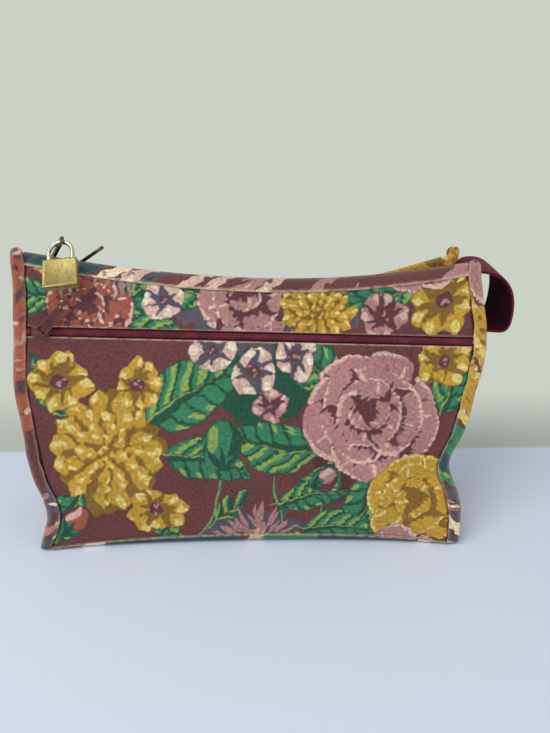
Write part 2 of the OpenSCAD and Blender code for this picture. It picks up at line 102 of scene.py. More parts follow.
def stack(*parts: Array) -> Array:
    """Coordinates side by side along a new last axis."""
    return np.stack(parts, axis=-1)


def headings(line: Array) -> Array:
    """Unit directions along a line of points."""
    way = np.gradient(line, axis=0)
    return way / np.linalg.norm(way, axis=1, keepdims=True)


def lengths(points: Array) -> Array:
    """Distances along lines of points from each line's first point."""
    steps = np.linalg.norm(np.diff(points, axis=-2), axis=-1)
    return np.concatenate([np.zeros_like(steps[..., :1]), np.cumsum(steps, axis=-1)], axis=-1)


def graded(count: int, length: float, edge: float = 2.4, fine: float = 0.4) -> Array:
    """Shares from 0 to 1 with finer steps near both ends.

    Args:
        count: Steps between the finely stepped ends.
        length: Length that the shares run over, in millimetres.
        edge: Width of each finely stepped end.
        fine: Step in those ends.

    Returns:
        The shares in order.
    """
    ends = np.arange(0, edge, fine)
    middle = np.linspace(edge, length - edge, count)
    return np.concatenate([ends, middle, (length - ends)[::-1]]) / length


def linear(srgb: Sequence[float]) -> tuple[float, float, float, float]:
    """Turns a colour of 0 to 255 into the linear colour that shaders use."""
    parts = [c / 255 for c in srgb]
    return (*[c / 12.92 if c <= 0.04045 else ((c + 0.055) / 1.055) ** 2.4 for c in parts], 1.0)


@dataclass(frozen=True)
class Ripples:
    """A smooth, repeatable field of waves that stands for creases and hand-cut edges."""

    seed: int
    shortest: float
    longest: float
    waves: int = 12

    def at(self, across: Array, along: Array | float = 0.0) -> Array:
        """Samples the waves.

        Args:
            across: First coordinate, in millimetres.
            along: Second coordinate, in millimetres.

        Returns:
            Heights of about -1 to 1.
        """
        rng = np.random.default_rng(self.seed)
        total = np.zeros(np.broadcast(across, along).shape)
        for _ in range(self.waves):
            number = TAU / rng.uniform(self.shortest, self.longest)
            heading = rng.uniform(0, TAU)
            phase = rng.uniform(0, TAU)
            total += np.sin(number * (across * cos(heading) + along * sin(heading)) + phase)
        return total / sqrt(self.waves)


# The print

class Ink(Enum):
    """Inks of the printed cloth in the order of their screens, as sRGB colours."""

    UMBER = (88, 48, 50)
    FOREST = (32, 84, 60)
    FERN = (60, 134, 96)
    LIME = (148, 176, 86)
    OCHRE = (142, 104, 36)
    YELLOW = (208, 162, 54)
    LEMON = (234, 210, 122)
    PLUM = (104, 58, 64)
    SLATE = (95, 86, 96)
    CORAL = (170, 92, 68)
    MAUVE = (190, 136, 130)
    BLUSH = (228, 189, 170)
    TEAL = (36, 80, 88)
    CREAM = (247, 231, 200)

    @property
    def layer(self) -> str:
        """Name of the mesh attribute that holds this ink's edges."""
        return "ink_" + self.name.lower()


GROUND = (112, 61, 59)


@dataclass(frozen=True)
class Tones:
    """Three inks that paint one motif, from its shade to its light."""

    shade: Ink
    body: Ink
    lit: Ink


GREENS = Tones(Ink.FOREST, Ink.FERN, Ink.LIME)
YELLOWS = Tones(Ink.OCHRE, Ink.YELLOW, Ink.LEMON)
MAUVES = Tones(Ink.PLUM, Ink.MAUVE, Ink.BLUSH)
CORALS = Tones(Ink.PLUM, Ink.CORAL, Ink.BLUSH)
SLATES = Tones(Ink.SLATE, Ink.MAUVE, Ink.BLUSH)
PALES = Tones(Ink.SLATE, Ink.BLUSH, Ink.CREAM)


class InkField:
    """Distances, in millimetres, from points of the cloth to each ink's edges: below zero is inked."""

    FAR = 5.0
    SWAY = 0.8

    def __init__(self, points: Array, repeat: Pair) -> None:
        """Starts bare cloth.

        Args:
            points: Places on the cloth, one row each, in millimetres.
            repeat: Width and height of the print's repeat.
        """
        sways = [Ripples(seed, shortest=6, longest=26).at(points[:, 0], points[:, 1]) for seed in (5, 6)]
        self.points = points + self.SWAY * stack(*sways)
        self.repeat = np.array(repeat)
        self.edges = {ink: np.full(len(points), self.FAR) for ink in Ink}


class Patch:
    """The points of the cloth round one motif."""

    def __init__(self, cloth: InkField, centre: Pair, reach: float) -> None:
        """Gathers the points that lie within reach of the centre, across the repeat's edges too.

        Args:
            cloth: The inked cloth.
            centre: Middle of the motif.
            reach: Greatest distance from the centre.
        """
        away = (cloth.points - centre + cloth.repeat / 2) % cloth.repeat - cloth.repeat / 2
        self.index = np.flatnonzero(np.hypot(away[:, 0], away[:, 1]) < reach)
        self.away = away[self.index]
        self.cloth = cloth

    def seen_from(self, origin: Pair = (0.0, 0.0), angle: float = 0.0) -> tuple[Array, Array]:
        """Places of the points seen from an origin that faces along an angle.

        Args:
            origin: Place to look from.
            angle: Way to look, in radians.

        Returns:
            Distances ahead and to the left.
        """
        across = self.away[:, 0] - origin[0]
        up = self.away[:, 1] - origin[1]
        cosine, sine = cos(angle), sin(angle)
        return across * cosine + up * sine, up * cosine - across * sine

    def clear(self, edge: Array) -> None:
        """Takes all ink out of a shape."""
        for line in self.cloth.edges.values():
            line[self.index] = np.maximum(line[self.index], -edge)

    def paint(self, ink: Ink, *edges: Array) -> None:
        """Inks the part that several shapes share."""
        line = self.cloth.edges[ink]
        line[self.index] = np.minimum(line[self.index], np.maximum.reduce(edges))

    def lay(self, ink: Ink, *edges: Array) -> None:
        """Inks the part that several shapes share, over all the inks there.

        Args:
            ink: The ink.
            *edges: Distances to the shapes.
        """
        edge = np.maximum.reduce(edges)
        self.clear(edge)
        self.paint(ink, edge)


def oval(ahead: Array, side: Array, half_ahead: float, half_side: float) -> Array:
    """Distance to an ellipse round the origin.

    Args:
        ahead: Distances ahead of the origin.
        side: Distances to its left.
        half_ahead: Half its length.
        half_side: Half its width.

    Returns:
        Distances to its edge, below zero inside.
    """
    near = np.hypot(ahead / half_ahead, side / half_side)
    slope = np.hypot(ahead / half_ahead**2, side / half_side**2)
    return near * (near - 1) / np.maximum(slope, 1e-6)


def blade(ahead: Array, side: Array, length: float, width: float, fullness: float) -> Array:
    """Distance to a petal that starts at the origin.

    Args:
        ahead: Distances ahead of the origin.
        side: Distances to its left.
        length: Length of the petal.
        width: Its greatest width.
        fullness: Where that width lies: above one is nearer the tip.

    Returns:
        Distances to its edge, below zero inside.
    """
    share = unit(ahead / length)
    half = width / 2 * np.sin(pi * share**fullness)
    return np.maximum(np.abs(side) - half, np.maximum(-ahead, ahead - length))


def bristles(ahead: Array, side: Array, rng: np.random.Generator, pitch: float = 2.4) -> Array:
    """Streaks of a dry brush.

    Args:
        ahead: Places along the stroke.
        side: Places across it.
        rng: Source of small differences.
        pitch: Usual distance between streaks, in millimetres.

    Returns:
        Heights of about -1 to 1.
    """
    total = np.zeros_like(ahead)
    for _ in range(4):
        sway = 0.8 * np.sin(TAU * ahead / rng.uniform(6, 18) + rng.uniform(0, TAU))
        total += np.sin(TAU * side / (pitch * rng.uniform(0.8, 2.4)) + sway + rng.uniform(0, TAU))
    return total / 2.2


@dataclass(frozen=True)
class Motif:
    """One drawn thing of the print, in millimetres on the cloth."""

    x: float
    y: float
    size: float
    turn: float = 0.0
    tones: Tones = YELLOWS
    seed: int = 1

    def draw(self, cloth: InkField) -> None:
        """Draws the motif over what is there."""
        raise NotImplementedError

    @property
    def heading(self) -> float:
        """The way that the motif is turned, in radians."""
        return radians(self.turn)

    def patch(self, cloth: InkField, reach: float) -> Patch:
        """The cloth within reach times the motif's size."""
        return Patch(cloth, (self.x, self.y), reach * self.size)

    def rng(self) -> np.random.Generator:
        """Repeatable small differences between strokes."""
        return np.random.default_rng(self.seed)


@dataclass(frozen=True)
class Shade(Motif):
    """A ragged dark patch behind a group of blooms."""

    ink: Ink = Ink.UMBER

    def draw(self, cloth: InkField) -> None:
        """Draws a blot with a notched edge.

        Args:
            cloth: The cloth to draw on.
        """
        patch = self.patch(cloth, 1.5)
        ahead, side = patch.seen_from(angle=self.heading)
        notch = 0.1 * self.size * Ripples(self.seed, 8, 24).at(ahead, side)
        patch.lay(self.ink, oval(ahead, side, self.size, 0.72 * self.size) + notch)


SMALL_ROSE = ((7, 0.68, 0.44), (5, 0.42, 0.38), (3, 0.18, 0.28))


@dataclass(frozen=True)
class Rose(Motif):
    """A full rose: rings of cupped petals round a heart that sits off its middle."""

    rings: tuple[tuple[int, float, float], ...] = (
        (8, 0.72, 0.38), (7, 0.5, 0.34), (5, 0.3, 0.29), (3, 0.12, 0.2))
    heart: Pair = (-0.1, 0.14)

    def draw(self, cloth: InkField) -> None:
        """Draws every petal with its shade, its streaked body, a broken lit lip and a few pale strokes.

        Args:
            cloth: The cloth to draw on.
        """
        rng = self.rng()
        patch = self.patch(cloth, 1.35)
        for ring, (count, reach, half) in enumerate(self.rings):
            inward = self.size * (1 - reach)
            for petal in range(count):
                step = petal + 0.5 * (ring % 2) + rng.uniform(-0.25, 0.25)
                angle = self.heading + TAU * step / count
                far = self.size * reach * rng.uniform(0.9, 1.08)
                centre = np.array([cos(angle), sin(angle)]) * far + np.array(self.heart) * inward
                self._petal(patch, rng, centre, angle + rng.uniform(-0.35, 0.35), self.size * half)

    def _petal(
        self, patch: Patch, rng: np.random.Generator, centre: Array, angle: float, half: float
    ) -> None:
        """One cupped petal of about a half length.

        Args:
            patch: The points round the rose.
            rng: Source of small differences.
            centre: Middle of the petal.
            angle: Way that it points.
            half: About half its length.
        """
        long = half * rng.uniform(0.86, 1.12)
        wide = half * rng.uniform(1.15, 1.55)
        ahead, side = patch.seen_from(centre, angle)
        brush = bristles(ahead, side, rng)
        edge = oval(ahead, side, long, wide) + 0.45 * brush
        lean = rng.uniform(-0.3, 0.3) * wide
        patch.lay(self.tones.shade, edge)
        body = oval(ahead - 0.34 * long, side - 0.5 * lean, 0.8 * long, 0.92 * wide)
        patch.paint(self.tones.body, edge + 0.35, body + 1.1 * brush)
        lip = -oval(ahead + 0.14 * long, side - lean, 0.98 * long, 1.06 * wide)
        patch.paint(self.tones.lit, edge + 0.4, lip + 0.9 * brush + 0.2)
        place = rng.uniform(-0.6, 0.6) * wide
        stroke = oval(ahead - rng.uniform(0.1, 0.5) * long, side - place, 0.34 * long, rng.uniform(0.7, 1.3))
        patch.paint(self.tones.lit, edge + 0.8, stroke)
        fold = oval(ahead + 0.8 * long, side - 0.6 * lean, 0.95 * long, 0.85 * wide)
        patch.lay(self.tones.shade, edge + 0.2, fold + 1.6 * brush)


@dataclass(frozen=True)
class Dahlia(Motif):
    """A round bloom of pointed petals in rings."""

    rings: tuple[tuple[int, float, float], ...] = (
        (13, 0.46, 0.56), (12, 0.3, 0.52), (10, 0.16, 0.44), (7, 0.06, 0.32), (4, 0.0, 0.17))

    def draw(self, cloth: InkField) -> None:
        """Draws the rings from the outside in.

        Args:
            cloth: The cloth to draw on.
        """
        rng = self.rng()
        patch = self.patch(cloth, 1.3)
        for ring, (count, start, length) in enumerate(self.rings):
            for petal in range(count):
                step = petal + 0.5 * (ring % 2) + rng.uniform(-0.25, 0.25)
                ahead, side = patch.seen_from(angle=self.heading + TAU * step / count)
                ahead = ahead - self.size * start
                long = self.size * length * rng.uniform(0.82, 1.14)
                wide = TAU * self.size * (start + 0.6 * length) / count * rng.uniform(0.95, 1.3)
                side = side - rng.uniform(-0.16, 0.16) * wide * (ahead / long) ** 2
                brush = bristles(ahead, side, rng, 1.8)
                edge = blade(ahead, side, long, wide, 1.25) + 0.3 * brush
                patch.lay(self.tones.shade, edge)
                offset = rng.uniform(-0.06, 0.16) * wide
                body = blade(ahead - 0.24 * long, side - offset, 0.78 * long, 0.86 * wide, 1.2)
                patch.paint(self.tones.body, edge + 0.35, body + 0.9 * brush)
                light = blade(ahead - 0.56 * long, side - 2.2 * offset, 0.42 * long, 0.34 * wide, 1.1)
                patch.paint(self.tones.lit, edge + 0.4, light + 0.8 * brush)


@dataclass(frozen=True)
class Daisy(Motif):
    """An open bloom with one ring of broad petals round a dark eye."""

    petals: int = 9
    eye: Ink = Ink.PLUM
    speck: Ink = Ink.MAUVE

    def draw(self, cloth: InkField) -> None:
        """Draws the petals and then the eye with its specks.

        Args:
            cloth: The cloth to draw on.
        """
        rng = self.rng()
        patch = self.patch(cloth, 1.3)
        for petal in range(self.petals):
            angle = self.heading + TAU * (petal + rng.uniform(-0.25, 0.25)) / self.petals
            ahead, side = patch.seen_from(angle=angle)
            long = self.size * rng.uniform(0.8, 1.12)
            wide = TAU * self.size / self.petals * rng.uniform(0.84, 1.12)
            side = side - rng.uniform(-0.2, 0.2) * wide * (ahead / long) ** 2
            brush = bristles(ahead, side, rng, 2.0)
            edge = blade(ahead, side, long, wide, 1.45) + 0.35 * brush
            patch.lay(self.tones.shade, edge)
            offset = rng.uniform(-0.15, 0.15) * wide
            body = blade(ahead - 0.36 * long, side - offset, 0.66 * long, 0.92 * wide, 1.2)
            patch.paint(self.tones.body, edge + 0.3, body + 1.0 * brush)
            light = blade(ahead - 0.56 * long, side + 1.4 * offset, 0.4 * long, 0.4 * wide, 1.0)
            patch.paint(self.tones.lit, edge + 0.5, light + 0.9 * brush)
        ahead, side = patch.seen_from()
        patch.lay(self.eye, oval(ahead, side, 0.25 * self.size, 0.22 * self.size))
        for _ in range(6):
            place = rng.normal(0, 0.1 * self.size, 2)
            dot = oval(ahead - place[0], side - place[1], 0.06 * self.size, 0.045 * self.size)
            patch.paint(self.speck, dot)


@dataclass(frozen=True)
class Aster(Motif):
    """A shaggy bloom of thin pointed petals."""

    rings: tuple[tuple[int, float, float], ...] = ((34, 0.48, 0.58), (24, 0.2, 0.42), (16, 0.14, 0.26))

    def draw(self, cloth: InkField) -> None:
        """Draws a dark heart and rings of spikes over it.

        Args:
            cloth: The cloth to draw on.
        """
        rng = self.rng()
        patch = self.patch(cloth, 1.35)
        ahead, side = patch.seen_from()
        patch.lay(self.tones.shade, oval(ahead, side, 0.78 * self.size, 0.74 * self.size))
        inks = (self.tones.body, self.tones.body, self.tones.lit)
        for (count, start, length), ink in zip(self.rings, inks):
            for petal in range(count):
                angle = self.heading + TAU * (petal + rng.uniform(-0.4, 0.4)) / count
                ahead, side = patch.seen_from(angle=angle)
                long = self.size * length * rng.uniform(0.6, 1.2)
                ahead = ahead - self.size * start * rng.uniform(0.8, 1.2)
                side = side - rng.uniform(-0.12, 0.12) * ahead
                patch.paint(ink, blade(ahead, side, long, rng.uniform(2.0, 3.6), 0.8))


@dataclass(frozen=True)
class Leaf(Motif):
    """A toothed leaf that starts at its stalk; its width is a share of its length."""

    width: float = 0.54
    tones: Tones = GREENS

    def draw(self, cloth: InkField) -> None:
        """Draws a dark leaf, streaked fields between its veins, and light strokes on its lit half.

        Args:
            cloth: The cloth to draw on.
        """
        rng = self.rng()
        patch = self.patch(cloth, 1.15)
        ahead, side = patch.seen_from(angle=self.heading)
        share = unit(ahead / self.size)
        side = side - 0.07 * self.size * np.sin(pi * share)
        sweep = ahead - 0.8 * np.abs(side) + 0.8 * np.sin(side / 3)
        gap = self.size / 6.0
        cell = (sweep / gap + rng.uniform(0, 1)) % 1
        tooth = 2.0 * np.sin(pi * share) * np.abs((sweep / (0.36 * gap)) % 1 - 0.4)
        edge = blade(ahead, side, self.size, self.width * self.size, 0.72) + tooth
        patch.lay(self.tones.shade, edge)
        brush = bristles(sweep, side + 0.5 * ahead, rng, 2.2)
        vein = 0.8 * gap * (np.abs(cell - 0.5) - 0.5)
        rib = np.where(side > 0, 0.7, 0.16 * self.width * self.size * (1 - share)) - np.abs(side)
        patch.paint(self.tones.body, edge + 0.7, vein + 0.9 + 0.7 * brush, rib + 0.5 * brush)
        light = 0.8 * gap * (np.abs(cell - 0.66) - 0.2)
        lit_half = np.where(side > 0, 1.4 - side, 0.3 * self.width * self.size + side)
        patch.paint(self.tones.lit, edge + 1.0, light + 0.9 * brush, lit_half + 0.8 * brush)
        stalk = np.abs(side) - 0.5 * (1 - share) - 0.1
        patch.lay(self.tones.lit, stalk, -ahead - 0.12 * self.size, ahead - 0.86 * self.size)


@dataclass(frozen=True)
class Stem(Motif):
    """A bowed stalk; size is its length and bow its sideways reach."""

    bow: float = 6.0
    thick: float = 1.8
    tones: Tones = GREENS

    def draw(self, cloth: InkField) -> None:
        """Draws the stalk with a lit side.

        Args:
            cloth: The cloth to draw on.
        """
        patch = self.patch(cloth, 1.1)
        ahead, side = patch.seen_from(angle=self.heading)
        line = side - self.bow * arch(unit(ahead / self.size))
        ends = np.maximum(-ahead, ahead - self.size)
        patch.lay(self.tones.body, np.abs(line) - self.thick / 2, ends)
        patch.paint(self.tones.lit, np.abs(line - 0.25 * self.thick) - 0.24 * self.thick, ends)


@dataclass(frozen=True)
class Sprig(Motif):
    """A small stalk with pointed leaflets on both sides."""

    pairs: int = 2
    tones: Tones = GREENS

    def draw(self, cloth: InkField) -> None:
        """Draws the stalk, the leaflets and the tip.

        Args:
            cloth: The cloth to draw on.
        """
        Stem(self.x, self.y, self.size, self.turn, bow=0.04 * self.size, thick=1.5).draw(cloth)
        rng = self.rng()
        patch = self.patch(cloth, 1.6)
        heading = self.heading
        for pair in range(self.pairs + 1):
            far = self.size * (0.34 + 0.6 * pair / self.pairs)
            origin = (far * cos(heading), far * sin(heading))
            for spread in (0.0,) if pair == self.pairs else (0.7, -0.7):
                ahead, side = patch.seen_from(origin, heading + spread + rng.uniform(-0.2, 0.2))
                long = self.size * rng.uniform(0.44, 0.62)
                brush = bristles(ahead, side, rng, 1.8)
                edge = blade(ahead, side, long, 0.42 * long, 0.75) + 0.4 * brush
                patch.lay(self.tones.shade, edge)
                patch.paint(self.tones.body, edge + 0.3, 0.6 * brush - side - 0.4)
                patch.paint(self.tones.lit, edge + 0.4, 0.8 * brush + 0.5 - side)


@dataclass(frozen=True)
class Bud(Motif):
    """A closed bud in its green cup."""

    def draw(self, cloth: InkField) -> None:
        """Draws the bud's folded petals and the cup's three tongues.

        Args:
            cloth: The cloth to draw on.
        """
        rng = self.rng()
        patch = self.patch(cloth, 1.7)
        heading = self.heading
        ahead, side = patch.seen_from(angle=heading)
        brush = bristles(ahead, side, rng)
        edge = oval(ahead - 0.55 * self.size, side, 0.62 * self.size, 0.48 * self.size)
        patch.lay(self.tones.shade, edge)
        body = oval(ahead - 0.6 * self.size, side - 0.1 * self.size, 0.52 * self.size, 0.32 * self.size)
        patch.paint(self.tones.body, edge + 0.5, body + 0.9 * brush)
        light = oval(ahead - 0.66 * self.size, side - 0.22 * self.size, 0.36 * self.size, 0.12 * self.size)
        patch.paint(self.tones.lit, edge + 0.6, light + 0.7 * brush)
        foot = (-0.12 * self.size * cos(heading), -0.12 * self.size * sin(heading))
        for spread in (-0.62, 0.0, 0.62):
            ahead, side = patch.seen_from(foot, heading + spread)
            tongue = blade(ahead, side, 0.66 * self.size, 0.32 * self.size, 0.7)
            patch.lay(Ink.FOREST, tongue)
            patch.paint(Ink.FERN, tongue + 0.4, -side)


BLOOMS: tuple[Motif, ...] = (
    Shade(-92, 70, 44, 70, ink=Ink.OCHRE, seed=2),
    Shade(10, 122, 42, 10, ink=Ink.FOREST, seed=3),
    Shade(72, 78, 44, 60, seed=4),
    Shade(4, 4, 36, 0, ink=Ink.SLATE, seed=5),
    Shade(10, 178, 54, 0, ink=Ink.SLATE, seed=6),
    Shade(-96, 178, 30, 0, seed=7),
    Stem(-40, 4, 64, 74, bow=-8),
    Stem(40, -8, 66, 112, bow=7),
    Stem(-16, 150, 46, 20, bow=5),
    Sprig(-44, 6, 30, 128, seed=2),
    Sprig(-30, 14, 28, 46, seed=3),
    Sprig(46, 24, 32, 78, seed=4),
    Leaf(-66, 92, 72, 28, width=0.6, seed=2),
    Leaf(-56, 70, 60, -16, width=0.52, seed=3),
    Leaf(-112, 42, 54, 226, width=0.56, seed=4),
    Leaf(-70, 40, 46, 292, width=0.56, seed=5),
    Leaf(-116, 96, 46, 118, width=0.52, seed=6),
    Leaf(44, 70, 66, 164, width=0.56, seed=7),
    Leaf(58, 116, 56, 138, width=0.58, seed=8),
    Leaf(84, 58, 62, 246, width=0.54, seed=9),
    Leaf(60, 60, 54, 214, width=0.52, seed=10),
    Leaf(18, 34, 48, 8, width=0.46, seed=11),
    Leaf(34, 14, 56, -6, width=0.52, seed=12),
    Leaf(124, 96, 50, 62, width=0.54, seed=13),
    Leaf(-88, 176, 52, 16, width=0.52, seed=14),
    Leaf(-80, 166, 54, -26, width=0.48, seed=15),
    Leaf(-118, 180, 44, 160, width=0.54, seed=16),
    Leaf(36, 180, 56, 8, width=0.46, seed=17),
    Leaf(-26, 184, 52, 166, width=0.48, seed=18),
    Leaf(30, 194, 46, 60, width=0.5, seed=19),
    Leaf(104, 188, 52, 190, width=0.46, seed=20),
    Dahlia(-94, 72, 39, 8, YELLOWS, 3),
    Daisy(-122, 118, 21, 20, YELLOWS, 4),
    Daisy(-72, 116, 17, 50, YELLOWS, 5, petals=8),
    Daisy(-64, 30, 20, 5, YELLOWS, 8, petals=8),
    Rose(80, 92, 41, 25, MAUVES, 11),
    Daisy(124, 130, 18, 40, YELLOWS, 12, petals=8),
    Rose(112, 32, 31, 60, YELLOWS, 21, SMALL_ROSE),
    Daisy(2, 124, 17, 10, PALES, 31, petals=6),
    Daisy(28, 134, 16, 50, PALES, 32, petals=6),
    Daisy(-24, 138, 15, 70, PALES, 33, petals=6),
    Daisy(12, 102, 12, 30, MAUVES, 34, petals=6),
    Bud(-22, 62, 27, 80, GREENS, 41),
    Bud(-126, 14, 20, 40, CORALS, 42),
    Bud(40, 48, 17, 24, MAUVES, 43),
    Aster(4, 2, 31, 0, SLATES, 51),
    Rose(-100, 174, 24, 0, CORALS, 61, SMALL_ROSE),
    Rose(0, 182, 29, 40, MAUVES, 62, SMALL_ROSE),
    Dahlia(42, 172, 24, 0, YELLOWS, 63),
    Daisy(122, 180, 23, 15, YELLOWS, 64),
    Daisy(84, 170, 17, 30, MAUVES, 65, petals=7),
    Daisy(-54, 180, 14, 0, PALES, 66, petals=6),
    Aster(-78, 210, 26, 0, SLATES, 67),
    Rose(104, 216, 30, 0, MAUVES, 68, SMALL_ROSE),
    Dahlia(30, 220, 27, 0, YELLOWS, 69),
    Daisy(-130, 216, 20, 0, YELLOWS, 71),
)


@dataclass(frozen=True)
class FloralPrint:
    """The repeat of the floral cloth: blooms over leaves over stalks on a brown-wine ground."""

    repeat: Pair = (300.0, 236.0)
    motifs: tuple[Motif, ...] = BLOOMS

    def ink(self, places: Array) -> InkField:
        """Prints the cloth.

        Args:
            places: Points on the cloth, one row each, in millimetres.

        Returns:
            The distances to every ink's edges.
        """
        cloth = InkField(places, self.repeat)
        for motif in self.motifs:
            motif.draw(cloth)
        return cloth


PARTNERS: dict[Ink, tuple[Ink, ...]] = {
    Ink.CORAL: (Ink.BLUSH, Ink.PLUM, Ink.MAUVE),
    Ink.MAUVE: (Ink.BLUSH, Ink.PLUM),
    Ink.BLUSH: (Ink.CREAM, Ink.MAUVE),
    Ink.PLUM: (Ink.MAUVE, Ink.UMBER),
    Ink.SLATE: (Ink.MAUVE, Ink.TEAL, Ink.CREAM),
    Ink.YELLOW: (Ink.LEMON, Ink.OCHRE, Ink.LEMON),
    Ink.OCHRE: (Ink.YELLOW, Ink.LEMON),
    Ink.LEMON: (Ink.YELLOW, Ink.CREAM),
    Ink.FERN: (Ink.LIME, Ink.FOREST),
    Ink.FOREST: (Ink.FERN, Ink.TEAL),
    Ink.TEAL: (Ink.SLATE, Ink.FERN, Ink.FOREST),
    Ink.CREAM: (Ink.BLUSH, Ink.MAUVE),
}


@dataclass(frozen=True)
class StripPrint:
    """What shows of the print on a narrow strip: slanted fields of ink with strokes of other inks."""

    fields: tuple[tuple[Ink, float, float], ...]
    slant: float = 0.5
    seed: int = 1
    girth: float = 20.0
    stroke_gap: float = 2.2

    def ink(self, places: Array) -> InkField:
        """Prints the strip.

        Args:
            places: Points along and across the strip, in millimetres.

        Returns:
            The distances to every ink's edges.
        """
        cloth = InkField(places, (5000.0, 5000.0))
        patch = Patch(cloth, (0.0, 0.0), 5000.0)
        rng = np.random.default_rng(self.seed)
        rough = 1.8 * Ripples(self.seed, 3, 16).at(places[:, 0], places[:, 1])
        along = places[:, 0] - self.slant * places[:, 1] + rough
        for ink, start, end in self.fields:
            edge = np.abs(along - (start + end) / 2) - (end - start) / 2
            patch.lay(ink, edge)
            for _ in range(int((end - start) / self.stroke_gap)):
                middle = (rng.uniform(start, end), rng.uniform(0, self.girth))
                ahead, side = patch.seen_from(middle, rng.uniform(0.6, 1.6))
                stroke = oval(ahead, side, rng.uniform(1.6, 5.0), rng.uniform(0.6, 1.7))
                patch.lay(PARTNERS[ink][rng.integers(len(PARTNERS[ink]))], stroke + 0.3 * rough, edge)
        return cloth


# Node trees

class NodeWriter:
    """A short way to write a node tree."""

    def __init__(self, tree: Tree) -> None:
        """Writes into a tree."""
        self.tree = tree

    def add(self, kind: str, **settings: object) -> Node:
        """Adds a node and sets its own settings.

        Args:
            kind: Type of the node.
            **settings: Its own settings.

        Returns:
            The new node.
        """
        node = self.tree.nodes.new(kind)
        for name, value in settings.items():
            setattr(node, name, value)
        return node

    def feed(self, socket: Socket, value: object) -> None:
        """Links a socket, or sets a constant on it.

        Args:
            socket: The input.
            value: A socket, a constant, or None to leave it.
        """
        if isinstance(value, Socket):
            self.tree.links.new(value, socket)
        elif value is not None:
            socket.default_value = value

    def math(self, operation: str, first: object, second: object = None, clamp: bool = False) -> Socket:
        """One math node.

        Args:
            operation: What it does.
            first: First input.
            second: Second input.
            clamp: Whether it stays within 0 and 1.

        Returns:
            Its result.
        """
        node = self.add("ShaderNodeMath", operation=operation, use_clamp=clamp)
        self.feed(node.inputs[0], first)
        self.feed(node.inputs[1], second)
        return node.outputs[0]

    def times(self, first: object, second: object) -> Socket:
        """Product of two values."""
        return self.math("MULTIPLY", first, second)

    def plus(self, first: object, second: object) -> Socket:
        """Sum of two values."""
        return self.math("ADD", first, second)

    def minus(self, first: object, second: object) -> Socket:
        """Difference of two values."""
        return self.math("SUBTRACT", first, second)

    def blend(self, share: object, under: object, over: object, mode: str = "MIX") -> Socket:
        """Mixes two colours.

        Args:
            share: Share of the upper colour.
            under: Lower colour.
            over: Upper colour.
            mode: How they mix.

        Returns:
            The mixed colour.
        """
        node = self.add("ShaderNodeMix", data_type="RGBA", blend_type=mode)
        self.feed(node.inputs["Factor"], share)
        self.feed(node.inputs[6], under)
        self.feed(node.inputs[7], over)
        return node.outputs[2]

    def span(
        self, value: object, low: float, high: float, to_low: float = 0.0, to_high: float = 1.0
    ) -> Socket:
        """Maps a range smoothly onto another.

        Args:
            value: What is mapped.
            low: Start of its range.
            high: End of its range.
            to_low: Result at the start.
            to_high: Result at the end.

        Returns:
            The mapped value.
        """
        node = self.add("ShaderNodeMapRange", interpolation_type="SMOOTHSTEP")
        for socket, setting in zip(node.inputs, (value, low, high, to_low, to_high)):
            self.feed(socket, setting)
        return node.outputs[0]

    def noise(self, vector: object, scale: object, detail: float = 2.0, roughness: float = 0.5) -> Socket:
        """A noise texture's value.

        Args:
            vector: Place to sample.
            scale: Its fineness.
            detail: Its octaves.
            roughness: Weight of the finer octaves.

        Returns:
            A value of about 0 to 1.
        """
        node = self.add("ShaderNodeTexNoise")
        settings = {"Vector": vector, "Scale": scale, "Detail": detail, "Roughness": roughness}
        for name, value in settings.items():
            self.feed(node.inputs[name], value)
        return node.outputs[0]

    def attribute(self, name: str) -> Socket:
        """A mesh attribute's value."""
        return self.add("ShaderNodeAttribute", attribute_name=name).outputs["Fac"]

    def cloth_map(self) -> Socket:
        """The place on the cloth, in metres, along and across."""
        return self.add("ShaderNodeUVMap", uv_map="Cloth").outputs[0]

    def group(self, tree: Tree, **values: object) -> Node:
        """Places a node group.

        Args:
            tree: The group.
            **values: Its inputs, by their names in lower case.

        Returns:
            The group's node.
        """
        node = self.add("ShaderNodeGroup", node_tree=tree)
        for name, value in values.items():
            self.feed(node.inputs[name.replace("_", " ").capitalize()], value)
        return node


